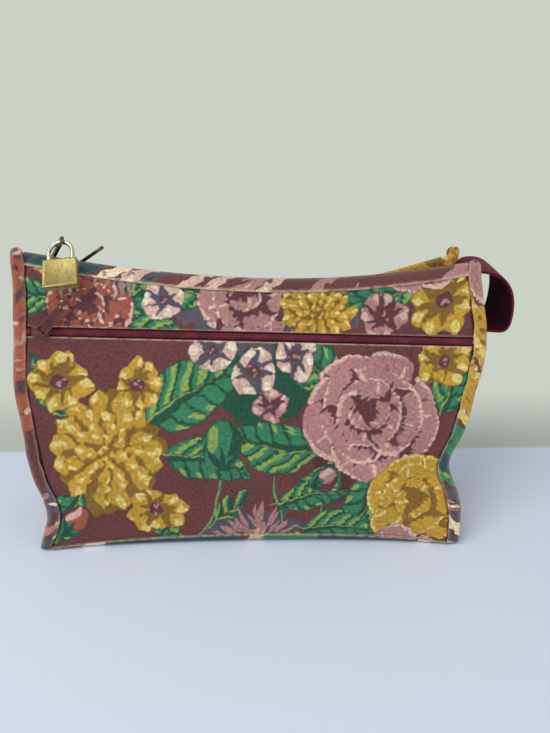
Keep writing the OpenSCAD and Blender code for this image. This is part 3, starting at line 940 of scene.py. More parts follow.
class Effects:
    """Node groups that several finishes share, each built once."""

    def __init__(self) -> None:
        """Builds the groups."""
        self.weave = self._weave()
        self.wear = self._wear()
        self.brush = self._brush()

    @staticmethod
    def _start(
        name: str, inputs: dict[str, float | None], outputs: Iterable[str]
    ) -> tuple[NodeWriter, Node, Node]:
        """Makes an empty group.

        Args:
            name: The group's name.
            inputs: Default of each input, or None for a vector.
            outputs: Names of the float outputs.

        Returns:
            A writer, the group's input node and its output node.
        """
        tree = bpy.data.node_groups.new(name, "ShaderNodeTree")
        for label, value in inputs.items():
            kind = "NodeSocketVector" if value is None else "NodeSocketFloat"
            socket = tree.interface.new_socket(label, in_out="INPUT", socket_type=kind)
            if value is not None:
                socket.default_value = value
        for label in outputs:
            tree.interface.new_socket(label, in_out="OUTPUT", socket_type="NodeSocketFloat")
        writer = NodeWriter(tree)
        return writer, writer.add("NodeGroupInput"), writer.add("NodeGroupOutput")

    def _weave(self) -> Tree:
        """Threads over and under each other: a height and a speckle of lighter and darker threads.

        Returns:
            The new group.
        """
        write, given, out = self._start(
            "Cloth weave", {"Place": None, "Threads": 1500.0, "Slub": 0.5}, ("Height", "Speckle"))
        parts = write.add("ShaderNodeSeparateXYZ")
        write.feed(parts.inputs[0], given.outputs["Place"])
        turn = write.times(given.outputs["Threads"], pi)
        waves = [write.math("SINE", write.times(parts.outputs[axis], turn)) for axis in (0, 1)]
        crossing = write.times(*waves)
        slub = write.noise(given.outputs["Place"], 560.0, 3.0, 0.75)
        soft = write.times(write.minus(slub, 0.5), given.outputs["Slub"])
        write.feed(out.inputs["Height"], write.plus(write.times(crossing, 0.35), soft))
        write.feed(out.inputs["Speckle"], write.plus(write.times(crossing, 0.3), write.times(soft, 2.4)))
        return write.tree

    def _wear(self) -> Tree:
        """Blotches where a surface is rubbed, of a given size and amount.

        Returns:
            The new group.
        """
        write, given, out = self._start(
            "Rubbed wear", {"Place": None, "Size": 40.0, "Amount": 0.5}, ("Mask", "Tone"))
        broad = write.noise(given.outputs["Place"], given.outputs["Size"], 5.0, 0.62)
        limit = write.minus(1.0, given.outputs["Amount"])
        rubbed = write.math("DIVIDE", write.minus(broad, limit), 0.16, clamp=True)
        write.feed(out.inputs["Mask"], rubbed)
        write.feed(out.inputs["Tone"], broad)
        return write.tree

    def _brush(self) -> Tree:
        """Fine drawn lines and a few crossing scratches.

        Returns:
            The new group.
        """
        write, given, out = self._start(
            "Brushed lines", {"Place": None, "Lines": 900.0}, ("Height", "Scratches"))
        drawn_out = write.add("ShaderNodeMapping")
        drawn_out.inputs["Scale"].default_value = (0.06, 1.0, 1.0)
        write.feed(drawn_out.inputs["Vector"], given.outputs["Place"])
        drawn = write.noise(drawn_out.outputs[0], given.outputs["Lines"])
        curls = write.noise(given.outputs["Place"], 240.0)
        curls.node.inputs["Distortion"].default_value = 2.2
        line = write.math("ABSOLUTE", write.minus(curls, 0.5))
        scratch = write.span(line, 0.0, 0.035, 1.0, 0.0)
        write.feed(out.inputs["Height"], write.minus(drawn, write.times(scratch, 0.6)))
        write.feed(out.inputs["Scratches"], scratch)
        return write.tree


# Finishes

class Finish:
    """A material of the pouch, built once and shared by its pieces."""

    def __init__(self, name: str) -> None:
        """Starts an empty material with its shader.

        Args:
            name: Name of the material.
        """
        self.material = bpy.data.materials.new(name)
        self.material.use_nodes = True
        self.write = NodeWriter(self.material.node_tree)
        self.shader = self.material.node_tree.nodes["Principled BSDF"]

    def object_place(self) -> Socket:
        """Object coordinates, in metres."""
        return self.write.add("ShaderNodeTexCoord").outputs["Object"]

    def settle(
        self, colour: object, roughness: object, height: object, depth: float, strength: float = 0.6
    ) -> None:
        """Links colour, roughness and bump to the shader.

        Args:
            colour: Base colour.
            roughness: Roughness value or socket.
            height: Height of the bump, or None.
            depth: Depth of the bump, in metres.
            strength: Strength of the bump.
        """
        self.write.feed(self.shader.inputs["Base Color"], colour)
        self.write.feed(self.shader.inputs["Roughness"], roughness)
        if height is not None:
            node = self.write.add("ShaderNodeBump")
            node.inputs["Strength"].default_value = strength
            node.inputs["Distance"].default_value = depth
            self.write.feed(node.inputs["Height"], height)
            self.write.feed(self.shader.inputs["Normal"], node.outputs[0])


@dataclass(frozen=True)
class PrintedCloth:
    """Laminated cotton with the floral print, paler along its folds from wear and a painted highlight, and
    sewn with dark thread.
    """

    name: str = "printed_cloth"
    edge_blur: float = 0.22
    edge_wander: float = 1.3
    thread: Colour = (92, 38, 44)
    # pale colour of the folded edges: rubbed wear together with a painted highlight
    worn_fold_highlight: Colour = (232, 206, 170)
    stitch_pitch: float = 2.8

    def build(self, effects: Effects) -> Material:
        """Lays the inks down one over another, then weave, fading, pale folds of wear and painted highlight,
        and stitches.

        Args:
            effects: The shared node groups.

        Returns:
            The new material.
        """
        finish = Finish(self.name)
        write = finish.write
        place = write.cloth_map()
        wander = write.times(write.minus(write.noise(place, 620.0, 2.0, 0.6), 0.5), self.edge_wander)
        colour: object = linear(GROUND)
        for ink in Ink:
            edge = write.plus(write.attribute(ink.layer), wander)
            inked = write.span(edge, -self.edge_blur, self.edge_blur, 1.0, 0.0)
            colour = write.blend(inked, colour, linear(ink.value))
        weave = write.group(effects.weave, place=place, threads=1300.0, slub=0.9)
        fading = write.group(effects.wear, place=place, size=26.0, amount=0.5)
        faded = write.span(fading.outputs["Tone"], 0.3, 0.7, 0.8, 1.0)
        tone = write.plus(write.times(weave.outputs["Speckle"], 1.1), faded)
        colour = write.blend(1.0, colour, tone, "MULTIPLY")
        # pale folded edges, broken up by rubbing: partly wear, partly a painted highlight on the rounded
        # folds
        rubbed = write.group(effects.wear, place=place, size=260.0, amount=0.62)
        rubbing = write.span(rubbed.outputs["Tone"], 0.3, 0.6, 0.1, 0.85)
        fold = write.times(write.attribute("fold_wear_and_highlight"), rubbing)
        colour = write.blend(fold, colour, linear(self.worn_fold_highlight))
        stitch = self._stitches(write, place)
        colour = write.blend(write.times(stitch, 0.75), colour, linear(self.thread))
        height = write.plus(write.times(weave.outputs["Height"], 0.5), write.times(stitch, 1.3))
        finish.settle(colour, write.span(fading.outputs["Tone"], 0.0, 1.0, 0.42, 0.64), height, 0.00016)
        finish.shader.inputs["Specular IOR Level"].default_value = 0.32
        return finish.material

    def _stitches(self, write: NodeWriter, place: Socket) -> Socket:
        """A mask of short stitches along the line where the stitch attribute is zero.

        Args:
            write: Writer of the material.
            place: Place on the cloth.

        Returns:
            The mask.
        """
        along = write.add("ShaderNodeSeparateXYZ")
        write.feed(along.inputs[0], place)
        step = write.math("FRACT", write.times(along.outputs[0], 1000 / self.stitch_pitch))
        dash = write.span(write.math("ABSOLUTE", write.minus(step, 0.5)), 0.34, 0.42, 1.0, 0.0)
        line = write.span(write.math("ABSOLUTE", write.attribute("stitch")), 0.22, 0.42, 1.0, 0.0)
        return write.times(dash, line)


@dataclass(frozen=True)
class WovenFinish:
    """Plain woven goods: zip tape, webbing or lining, with ribs across or along."""

    name: str
    colour: Colour
    shade: Colour
    ribs: float
    rib_axis: int
    threads: float = 1400.0
    depth: float = 0.0002
    roughness: float = 0.7
    sheen: float = 0.25

    def build(self, effects: Effects) -> Material:
        """Ribs, weave and a tone of wear, with painted shade in the ribs' hollows and painted light on their
        crests.

        Args:
            effects: The shared node groups.

        Returns:
            The new material.
        """
        finish = Finish(self.name)
        write = finish.write
        place = write.cloth_map()
        parts = write.add("ShaderNodeSeparateXYZ")
        write.feed(parts.inputs[0], place)
        wave = write.math("SINE", write.times(parts.outputs[self.rib_axis], TAU * self.ribs))
        weave = write.group(effects.weave, place=place, threads=self.threads, slub=0.8)
        wear = write.group(effects.wear, place=place, size=60.0, amount=0.45)
        relief = write.plus(write.times(wave, 0.5), weave.outputs["Height"])
        # colour follows the relief: painted shade in hollows, painted light on crests, mixed with the wear
        # tone
        light = write.span(write.plus(relief, wear.outputs["Tone"]), -0.4, 1.5)
        colour = write.blend(light, linear(self.shade), linear(self.colour))
        dullness = write.span(wear.outputs["Tone"], 0.2, 0.8, self.roughness - 0.1, self.roughness + 0.1)
        finish.settle(colour, dullness, relief, self.depth)
        finish.shader.inputs["Specular IOR Level"].default_value = 0.15
        finish.shader.inputs["Sheen Weight"].default_value = self.sheen
        finish.shader.inputs["Sheen Roughness"].default_value = 0.5
        return finish.material


@dataclass(frozen=True)
class NylonFinish:
    """Moulded nylon of the zip coils."""

    name: str
    colour: Colour
    shade: Colour

    def build(self, effects: Effects) -> Material:
        """A glossy wine colour with dull, dusty patches.

        Args:
            effects: The shared node groups.

        Returns:
            The new material.
        """
        finish = Finish(self.name)
        write = finish.write
        place = finish.object_place()
        dust = write.group(effects.wear, place=place, size=90.0, amount=0.5)
        dusty = write.span(dust.outputs["Tone"], 0.3, 0.7)
        colour = write.blend(dusty, linear(self.shade), linear(self.colour))
        dullness = write.span(dust.outputs["Tone"], 0.3, 0.7, 0.28, 0.46)
        finish.settle(colour, dullness, write.noise(place, 2600.0), 0.00003)
        return finish.material


@dataclass(frozen=True)
class MetalFinish:
    """A metal with drawn lines, tarnish and scratches."""

    name: str
    colour: Colour
    tarnish: Colour
    metallic: float = 1.0
    low_gloss: float = 0.42
    high_gloss: float = 0.24
    tarnish_amount: float = 0.45
    patch_size: float = 120.0
    scratch: float = 0.5
    depth: float = 0.00006

    def build(self, effects: Effects) -> Material:
        """Brushed relief, tarnished patches and scratches that catch the light.

        Args:
            effects: The shared node groups.

        Returns:
            The new material.
        """
        finish = Finish(self.name)
        write = finish.write
        place = finish.object_place()
        brush = write.group(effects.brush, place=place, lines=1100.0)
        wear = write.group(effects.wear, place=place, size=self.patch_size, amount=self.tarnish_amount)
        marks = write.times(brush.outputs["Scratches"], self.scratch)
        dull = write.math("MAXIMUM", wear.outputs["Mask"], marks)
        colour = write.blend(dull, linear(self.colour), linear(self.tarnish))
        dullness = write.span(dull, 0.0, 1.0, self.high_gloss, self.low_gloss)
        finish.settle(colour, dullness, brush.outputs["Height"], self.depth, 0.4)
        finish.shader.inputs["Metallic"].default_value = self.metallic
        return finish.material


AnyFinish = PrintedCloth | WovenFinish | NylonFinish | MetalFinish


@dataclass
class Wardrobe:
    """Every finish of the pouch, built from the shared effects."""

    effects: Effects = field(default_factory=Effects)
    made: dict[str, Material] = field(default_factory=dict)

    def get(self, finish: AnyFinish) -> Material:
        """The material of a finish, built the first time it is asked for.

        Args:
            finish: The finish.

        Returns:
            Its material.
        """
        if finish.name not in self.made:
            self.made[finish.name] = finish.build(self.effects)
        return self.made[finish.name]


PRINTED = PrintedCloth()
LINING = WovenFinish("pocket_lining", (104, 60, 58), (80, 44, 42), ribs=1500, rib_axis=0)
TAPE = WovenFinish("zip_tape", (84, 16, 34), (52, 6, 20), ribs=1100, rib_axis=1, depth=0.00025)
WEBBING = WovenFinish("webbing", (128, 22, 52), (78, 8, 28), ribs=520, rib_axis=0, depth=0.0004, sheen=0.08)
# the same webbing, much darker, for the loop's inner face: painted shade
WEBBING_SHADED_INSIDE = WovenFinish(
    "webbing_inside_painted_shade", (66, 10, 36), (36, 6, 22), ribs=520, rib_axis=0, depth=0.0004, sheen=0.0)
NYLON = NylonFinish("zip_coil", (156, 54, 74), (112, 28, 48))
BRASS = MetalFinish(
    "lock_brass", (164, 146, 82), (116, 98, 46),
    metallic=0.5, high_gloss=0.4, low_gloss=0.6, scratch=0.9, tarnish_amount=0.42)
# brighter copies of the face finishes for bevelled edges: painted highlights
BRASS_EDGE_HIGHLIGHT = MetalFinish(
    "lock_brass_edge_highlight", (232, 222, 160), (196, 174, 104), high_gloss=0.16, low_gloss=0.3, scratch=0.2)
STEEL = MetalFinish(
    "lock_steel", (212, 210, 184), (158, 152, 122),
    high_gloss=0.22, low_gloss=0.4, scratch=0.2, tarnish_amount=0.36)
BRONZE = MetalFinish(
    "bronze_metal", (104, 86, 66), (74, 78, 66),
    metallic=0.85, high_gloss=0.36, low_gloss=0.6, tarnish_amount=0.52)
BRONZE_EDGE_HIGHLIGHT = MetalFinish(
    "bronze_edge_highlight", (150, 126, 96), (96, 88, 70), metallic=0.9, high_gloss=0.28, low_gloss=0.5)
ENAMEL = MetalFinish(
    "enamel_metal", (92, 42, 38), (70, 30, 30), metallic=0.0, high_gloss=0.34, low_gloss=0.5, scratch=0.25)
ENAMEL_EDGE_HIGHLIGHT = MetalFinish(
    "enamel_edge_highlight", (146, 96, 86), (104, 56, 50), metallic=0.2, high_gloss=0.34, low_gloss=0.5)


# Meshes

def activate(piece: Thing) -> None:
    """Makes one object the only selected and active one.

    Args:
        piece: The object.
    """
    bpy.ops.object.select_all(action="DESELECT")
    piece.select_set(True)
    bpy.context.view_layer.objects.active = piece


def apply_modifiers(piece: Thing) -> None:
    """Applies every modifier in order.

    Args:
        piece: The object that has them.
    """
    activate(piece)
    for modifier in list(piece.modifiers):
        bpy.ops.object.modifier_apply(modifier=modifier.name)


def pick_faces(piece: Thing, way: Vector, least: float) -> None:
    """Opens a piece for editing, with only those faces selected that look one way.

    Args:
        piece: The active object.
        way: Unit direction that the faces look in.
        least: Least cosine between a face's normal and that direction.
    """
    bpy.ops.object.mode_set(mode="EDIT")
    bpy.ops.mesh.select_all(action="DESELECT")
    bpy.ops.object.mode_set(mode="OBJECT")
    for face in piece.data.polygons:
        face.select = face.normal.dot(way) > least
    bpy.ops.object.mode_set(mode="EDIT")


def facing(side: int) -> slice:
    """Order of a grid's lines that turns its outside outwards on either side."""
    return slice(None) if side > 0 else slice(None, None, -1)


def grid_object(name: str, points: Array, cloth: Array) -> Thing:
    """A smooth surface through a grid of points.

    Args:
        name: Name of the piece.
        points: Points in millimetres; seen from outside, rows run to the right and columns up.
        cloth: Place of each point on the flat cloth, in millimetres.

    Returns:
        The new object, with its cloth places as the UV map "Cloth" in metres.
    """
    rows, columns = points.shape[:2]
    index = np.arange(rows * columns).reshape(rows, columns)
    quads = stack(index[:-1, :-1], index[1:, :-1], index[1:, 1:], index[:-1, 1:]).reshape(-1, 4)
    mesh = bpy.data.meshes.new(name)
    mesh.from_pydata((points.reshape(-1, 3) * MM).tolist(), [], quads.tolist())
    layer = mesh.uv_layers.new(name="Cloth")
    corners = np.empty(len(mesh.loops), dtype=np.int32)
    mesh.loops.foreach_get("vertex_index", corners)
    layer.data.foreach_set("uv", (cloth.reshape(-1, 2)[corners] * MM).astype(np.float32).ravel())
    mesh.polygons.foreach_set("use_smooth", np.ones(len(mesh.polygons), dtype=bool))
    piece = bpy.data.objects.new(name, mesh)
    bpy.context.collection.objects.link(piece)
    return piece


def give_attribute(piece: Thing, name: str, values: Array) -> None:
    """Stores one number for each point of a mesh."""
    layer = piece.data.attributes.new(name, "FLOAT", "POINT")
    layer.data.foreach_set("value", values.astype(np.float32).ravel())


def thicken(piece: Thing, thickness: float) -> None:
    """Gives a surface its thickness on the inside.

    Args:
        piece: The surface.
        thickness: Its thickness, in millimetres.
    """
    modifier = piece.modifiers.new("Thickness", "SOLIDIFY")
    modifier.thickness = thickness * MM
    modifier.offset = -1.0
    modifier.material_offset = len(piece.data.materials) - 1
    apply_modifiers(piece)


def hand_over(piece: Thing, body: str, slot: str, node: str) -> None:
    """Attaches a piece to its body and hides the CAD node that it stands for.

    Args:
        piece: The finished piece.
        body: Body that it rides on.
        slot: Its material slot; not used.
        node: CAD node that it replaces.
    """
    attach(piece, body)
    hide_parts(node)
    LOG.info("built %s with %d faces", piece.name, len(piece.data.polygons))


# The pouch's shape

@dataclass(frozen=True)
class PouchShape:
    """Seams, folds and levels of the pouch, in millimetres, as in its CAD frame."""

    half_left: float = 138.0
    half_right: float = 135.0
    base_front: float = 48.0
    base_back: float = 46.0
    front_slope: float = tan(radians(9.2))
    back_slope: float = tan(radians(6.9))
    front_lean: float = radians(9.2)
    chain_low: float = 172.0
    sag_radius: float = 880.0
    zip_recess: float = 6.5
    fold_twist: float = 5.0
    back_twist: float = 3.3
    back_sag: float = 4.0
    right_rise: float = 4.5
    back_dip: float = 5.0
    half_span: float = 141.0
    band_rise: float = 6.0
    front_fold: float = 7.0
    back_fold: float = 12.0
    zip_mid: float = 2.5
    pocket_zip: float = 144.3
    pocket_tilt: float = radians(1.5)
    zip_open: float = 6.0
    panel_foot: float = 1.9
    wall_depth: float = 8.0
    hem_gap: float = 0.4
    under_binding: float = 2.0
    gusset_top: float = 183.0
    gusset_dented: float = 9.0

    def left_edge(self, z: Array) -> Array:
        """Left front seam at a height."""
        return -self.half_left - 4.5 * bump(z, 118, 38) + 10.0 * bump(z, 27, 22)

    def right_edge(self, z: Array) -> Array:
        """Right seam at a height."""
        return self.half_right + 8.5 * bump(z, 140, 36) - 10.0 * bump(z, 58, 20)

    def back_left_edge(self, z: Array) -> Array:
        """Left back seam at a height."""
        return self.left_edge(z) - 8.0 * bump(z, 175, 60)

    def front_y(self, z: Array) -> Array:
        """Outer plane of the front at a height."""
        return -self.base_front + z * self.front_slope

    def back_y(self, z: Array) -> Array:
        """Outer plane of the back at a height."""
        return self.base_back - z * self.back_slope

    def zip_z(self, x: Array) -> Array:
        """Height of the sagging main zip."""
        return self.chain_low + self.sag_radius - np.sqrt(self.sag_radius**2 - x**2)

    def front_fold_z(self, x: Array) -> Array:
        """Height of the front band's fold.

        Args:
            x: Places across.

        Returns:
            Heights.
        """
        share = x / self.half_span
        twist = self.fold_twist * share - self.right_rise * np.maximum(0, share) ** 2
        return self.zip_z(x) + self.zip_recess - twist

    def back_fold_z(self, x: Array) -> Array:
        """Height of the back band's fold.

        Args:
            x: Places across.

        Returns:
            Heights.
        """
        share = x / self.half_span
        sag = self.back_sag * (1 - share**2) + self.back_dip * bump(x, 75, 40)
        return self.zip_z(x) + self.zip_recess + self.back_twist * share - sag

    def pocket_line_z(self, x: Array, off: float) -> Array:
        """Height of a line beside the pocket zip."""
        return self.pocket_zip + cos(self.front_lean) * (off - x * tan(self.pocket_tilt))

    def gusset_dent(self, share: Array, z: Array) -> Array:
        """How far a gusset is dented inward, a share of the way from front to back."""
        level = np.maximum(0, np.sin(pi * z / self.gusset_top))
        return self.gusset_dented * np.sin(pi * share) * level

    def pocket_frame(self) -> Matrix:
        """Place of the pocket zip: along it, up the panel and out of it, in metres.

        Returns:
            The zip's frame.
        """
        origin = Vector((0.0, float(self.front_y(self.pocket_zip)), self.pocket_zip)) * MM
        turn = Matrix.Rotation(-self.front_lean, 4, "X") @ Matrix.Rotation(self.pocket_tilt, 4, "Y")
        return Matrix.Translation(origin) @ turn @ Matrix.Rotation(pi / 2, 4, "X")


class Held(Enum):
    """How a sheet of cloth is held by its seams."""

    STRETCHED = "stretched"
    FOLDED = "folded"


@dataclass
class ClothPiece:
    """One cut piece of cloth: its grid, its place on the flat cloth and what is printed on it."""

    name: str
    node: str
    points: Array
    cloth: Array
    flat: Pair
    held: Held
    pattern: FloralPrint | StripPrint | None = None
    offset: Pair = (0.0, 0.0)
    thickness: float = 0.8
    # paleness along folded edges: wear together with a painted highlight
    fold_wear_and_highlight: Array | None = None
    stitch: Array | None = None
    slot: str = ""
    finish: AnyFinish = PRINTED
    # finish of the inner face; the grab loop's is a darker copy, a painted shade
    inside: AnyFinish | None = None

    def build(self, wardrobe: Wardrobe) -> None:
        """Args:
            wardrobe: The finishes.
        """
        piece = grid_object(self.name, self.points, self.cloth)
        if self.pattern is not None:
            places = self.cloth.reshape(-1, 2) + np.array(self.offset)
            for ink, edge in self.pattern.ink(places).edges.items():
                give_attribute(piece, ink.layer, edge)
            bare = np.zeros(self.points.shape[:2])
            give_attribute(piece, "fold_wear_and_highlight", bare if self.fold_wear_and_highlight is None else self.fold_wear_and_highlight)
            give_attribute(piece, "stitch", bare + 9.0 if self.stitch is None else self.stitch)
        for finish in (self.finish, self.inside):
            if finish is not None:
                piece.data.materials.append(wardrobe.get(finish))
        thicken(piece, self.thickness)
        hand_over(piece, "pouch", self.slot or self.finish.name, self.node)


def rounded_hem(distance: Array, radius: float = 1.0) -> Array:
    """How far a folded edge curls inward at a distance from it."""
    share = unit(1 - distance / radius)
    return radius * (1 - np.sqrt(1 - 0.96 * share**2))


def seam_dip(side: Array) -> Array:
    """How deep a panel is pressed in at a distance from its seam, where the binding holds it."""
    return 1.3 * unit(1 - (side - 0.3) / 1.6) ** 2


def edge_wear_and_highlight(distance: Array, width: float) -> Array:
    """Paleness that fades away from an edge: wear together with a painted highlight."""
    return unit(1 - distance / width)


@dataclass
class FrontPanels:
    """The pocket front, the strip above its zip, and the hidden wall behind the pocket."""

    shape: PouchShape
    wardrobe: Wardrobe
    design: FloralPrint
    belly: float = 4.0
    tuck: float = 8.0
    tuck_spread: float = 18.0
    foot_lift: float = 6.0
    across: int = 294
    up: int = 146

    def _rest(self, x: Array, share: Array, z: Array) -> Array:
        """Front surface before its creases.

        Args:
            x: Places across.
            share: Shares of the way across.
            z: Heights.

        Returns:
            y at each place.
        """
        low = z / self.shape.pocket_line_z(x, 0)
        swell = self.belly * arch(share) * np.maximum(0, np.sin(pi * np.clip(low, 0, 2)))
        return self.shape.front_y(z) - swell + self.tuck * arch(share) * np.exp(-z / self.tuck_spread)

    def foot(self, share: Array) -> tuple[Array, Array, Array]:
        """Lower edge of the pocket front.

        Args:
            share: Shares of the way from the left seam to the right one.

        Returns:
            The edge's x, y and z.
        """
        z = self.shape.panel_foot + self.foot_lift * arch(share) ** 0.7
        x = mix(self.shape.left_edge(z), self.shape.right_edge(z), share)
        return x, self._rest(x, share, z), z

    def _grid(
        self, low: Callable, high: Callable, shares: Array, rises: Array, inset: float
    ) -> tuple[Array, ...]:
        """Lays a grid over the front.

        Args:
            low: Height of the lower edge, from x and the share across.
            high: Height of the upper edge, likewise.
            shares: Shares across.
            rises: Shares up.
            inset: Distance of the sides inside the seams.

        Returns:
            Grids of x, y, z and the distances from the lower and the upper edge.
        """
        share, rise = np.meshgrid(shares, rises, indexing="ij")
        x = mix(-self.shape.half_left, self.shape.half_right, share)
        z = mix(low(x, share), high(x, share), rise)
        for _ in range(2):
            x = mix(self.shape.left_edge(z) + inset, self.shape.right_edge(z) - inset, share)
            z = mix(low(x, share), high(x, share), rise)
        height = high(x, share) - low(x, share)
        return x, self._rest(x, share, z), z, rise * height, (1 - rise) * height

    def _raise(self, x: Array, y: Array, z: Array, out: Array) -> Array:
        """Points moved out of the panel's plane by a distance."""
        lean = self.shape.front_lean
        return stack(x, y - out * cos(lean), z + out * sin(lean))

    def _creases(self, x: Array, z: Array) -> Array:
        """Soft waves of the cloth, the dents by the pinched seams and the drag lines from the corners.

        Args:
            x: Places across.
            z: Heights.

        Returns:
            Distances out of the panel.
        """
        shape = self.shape
        from_right = shape.right_edge(z) - x
        from_left = x - shape.left_edge(z)
        waves = 0.55 * Ripples(21, 45, 120).at(x, z) + 0.14 * Ripples(22, 14, 34).at(x, z)
        held = unit(np.minimum(from_left, from_right) / 11)
        dent = -3.6 * held * np.exp(-((from_right / 26) ** 2) - ((z - 60) / 26) ** 2)
        lip = 1.5 * np.exp(-(((from_right - 34) / 18) ** 2) - ((z - 66) / 34) ** 2)
        drag = -2.4 * held * np.exp(-((from_left / 20) ** 2) - ((z - 26) / 20) ** 2)
        fold = 1.1 * np.exp(-(((from_left - 0.7 * z - 8) / 8) ** 2)) * np.exp(-((z / 46) ** 2))
        near = np.exp(-np.minimum(from_left, from_right) / 7)
        pucker = 0.32 * np.sin(z / 5.2 + 2 * Ripples(23, 40, 90).at(x, z)) * near
        return waves + dent + lip + drag + fold + pucker

    def build(self) -> None:
        """Builds the three sheets."""
        self._pocket_front()
        self._upper_strip()
        self._backing()

    def _pocket_front(self) -> None:
        """The large panel below the pocket zip."""
        shape = self.shape
        x, y, z, from_low, from_high = self._grid(
            lambda x, s: shape.panel_foot + self.foot_lift * arch(s) ** 0.7,
            lambda x, s: shape.pocket_line_z(x, -shape.zip_open / 2),
            np.linspace(0, 1, self.across), graded(self.up, 145), -shape.under_binding)
        side = np.minimum(x - shape.left_edge(z), shape.right_edge(z) - x)
        free = unit((from_high - 4) / 14)
        out = self._creases(x, z) * free * unit(from_low / 10 + 0.25)
        out += 0.1 * bump(from_high, 1.3, 1.1) - rounded_hem(from_high)
        out += 0.1 * np.sin(x / 1.9 + 3 * Ripples(31, 30, 70).at(x, z)) * bump(from_high, 3.6, 2.0)
        out += 0.35 * bump(from_low, 1.4, 1.2) - rounded_hem(from_low)
        out -= seam_dip(side)
        # pale hems: wear together with a painted highlight
        wear = np.maximum(edge_wear_and_highlight(from_high, 1.1), 0.9 * edge_wear_and_highlight(from_low, 1.4))
        stitch = np.minimum(np.abs(from_high - 2.6), np.abs(from_low - 2.4))
        cloth = stack(x, z / cos(shape.front_lean))
        points = self._raise(x, y, z, out)
        ClothPiece("pocket_front_cloth", "pocket_front", points, cloth, (275, 147), Held.STRETCHED,
                   self.design, fold_wear_and_highlight=wear, stitch=stitch).build(self.wardrobe)

    def _upper_strip(self) -> None:
        """The strip between the pocket zip and the front band."""
        shape = self.shape
        x, y, z, from_low, from_high = self._grid(
            lambda x, s: shape.pocket_line_z(x, shape.zip_open / 2),
            lambda x, s: shape.front_fold_z(x) - shape.band_rise - shape.hem_gap,
            np.linspace(0, 1, self.across), graded(26, 30), -shape.under_binding)
        side = np.minimum(x - shape.left_edge(z), shape.right_edge(z) - x)
        free = unit((from_low - 4) / 9) * unit(from_high / 8)
        out = (0.7 * Ripples(41, 40, 100).at(x, z) + 0.2 * Ripples(42, 14, 30).at(x, z)) * free
        out += 0.1 * bump(from_low, 1.3, 1.1) - rounded_hem(from_low)
        out += 0.1 * np.sin(x / 1.9 + 3 * Ripples(32, 30, 70).at(x, z)) * bump(from_low, 3.6, 2.0)
        out -= seam_dip(side)
        cloth = stack(x, (z - shape.pocket_zip) / cos(shape.front_lean))
        points = self._raise(x, y, z, out)
        # its hem is paler: wear together with a painted highlight
        ClothPiece("front_strip_cloth", "front_upper_strip", points, cloth, (276, 30), Held.STRETCHED,
                   self.design, (0, 157), fold_wear_and_highlight=edge_wear_and_highlight(from_low, 1.1),
                   stitch=np.abs(from_low - 2.6)).build(self.wardrobe)

    def _backing(self) -> None:
        """The plain wall between the pocket and the main space."""
        shape = self.shape
        x, y, z, from_low, from_high = self._grid(
            lambda x, s: shape.panel_foot + 1.6 + 0 * x, lambda x, s: shape.zip_z(x) - 3.0,
            np.linspace(0, 1, 90), np.linspace(0, 1, 60), 5.1)
        ease = unit(from_high / 20) * unit(from_low / 20)
        out = 0.5 * Ripples(51, 40, 90).at(x, z) * ease - shape.wall_depth
        cloth = stack(x, z)
        points = self._raise(x, y, z, out)
        ClothPiece("pocket_wall_cloth", "pocket_backing", points, cloth, (266, 172), Held.STRETCHED,
                   thickness=0.9, finish=LINING).build(self.wardrobe)


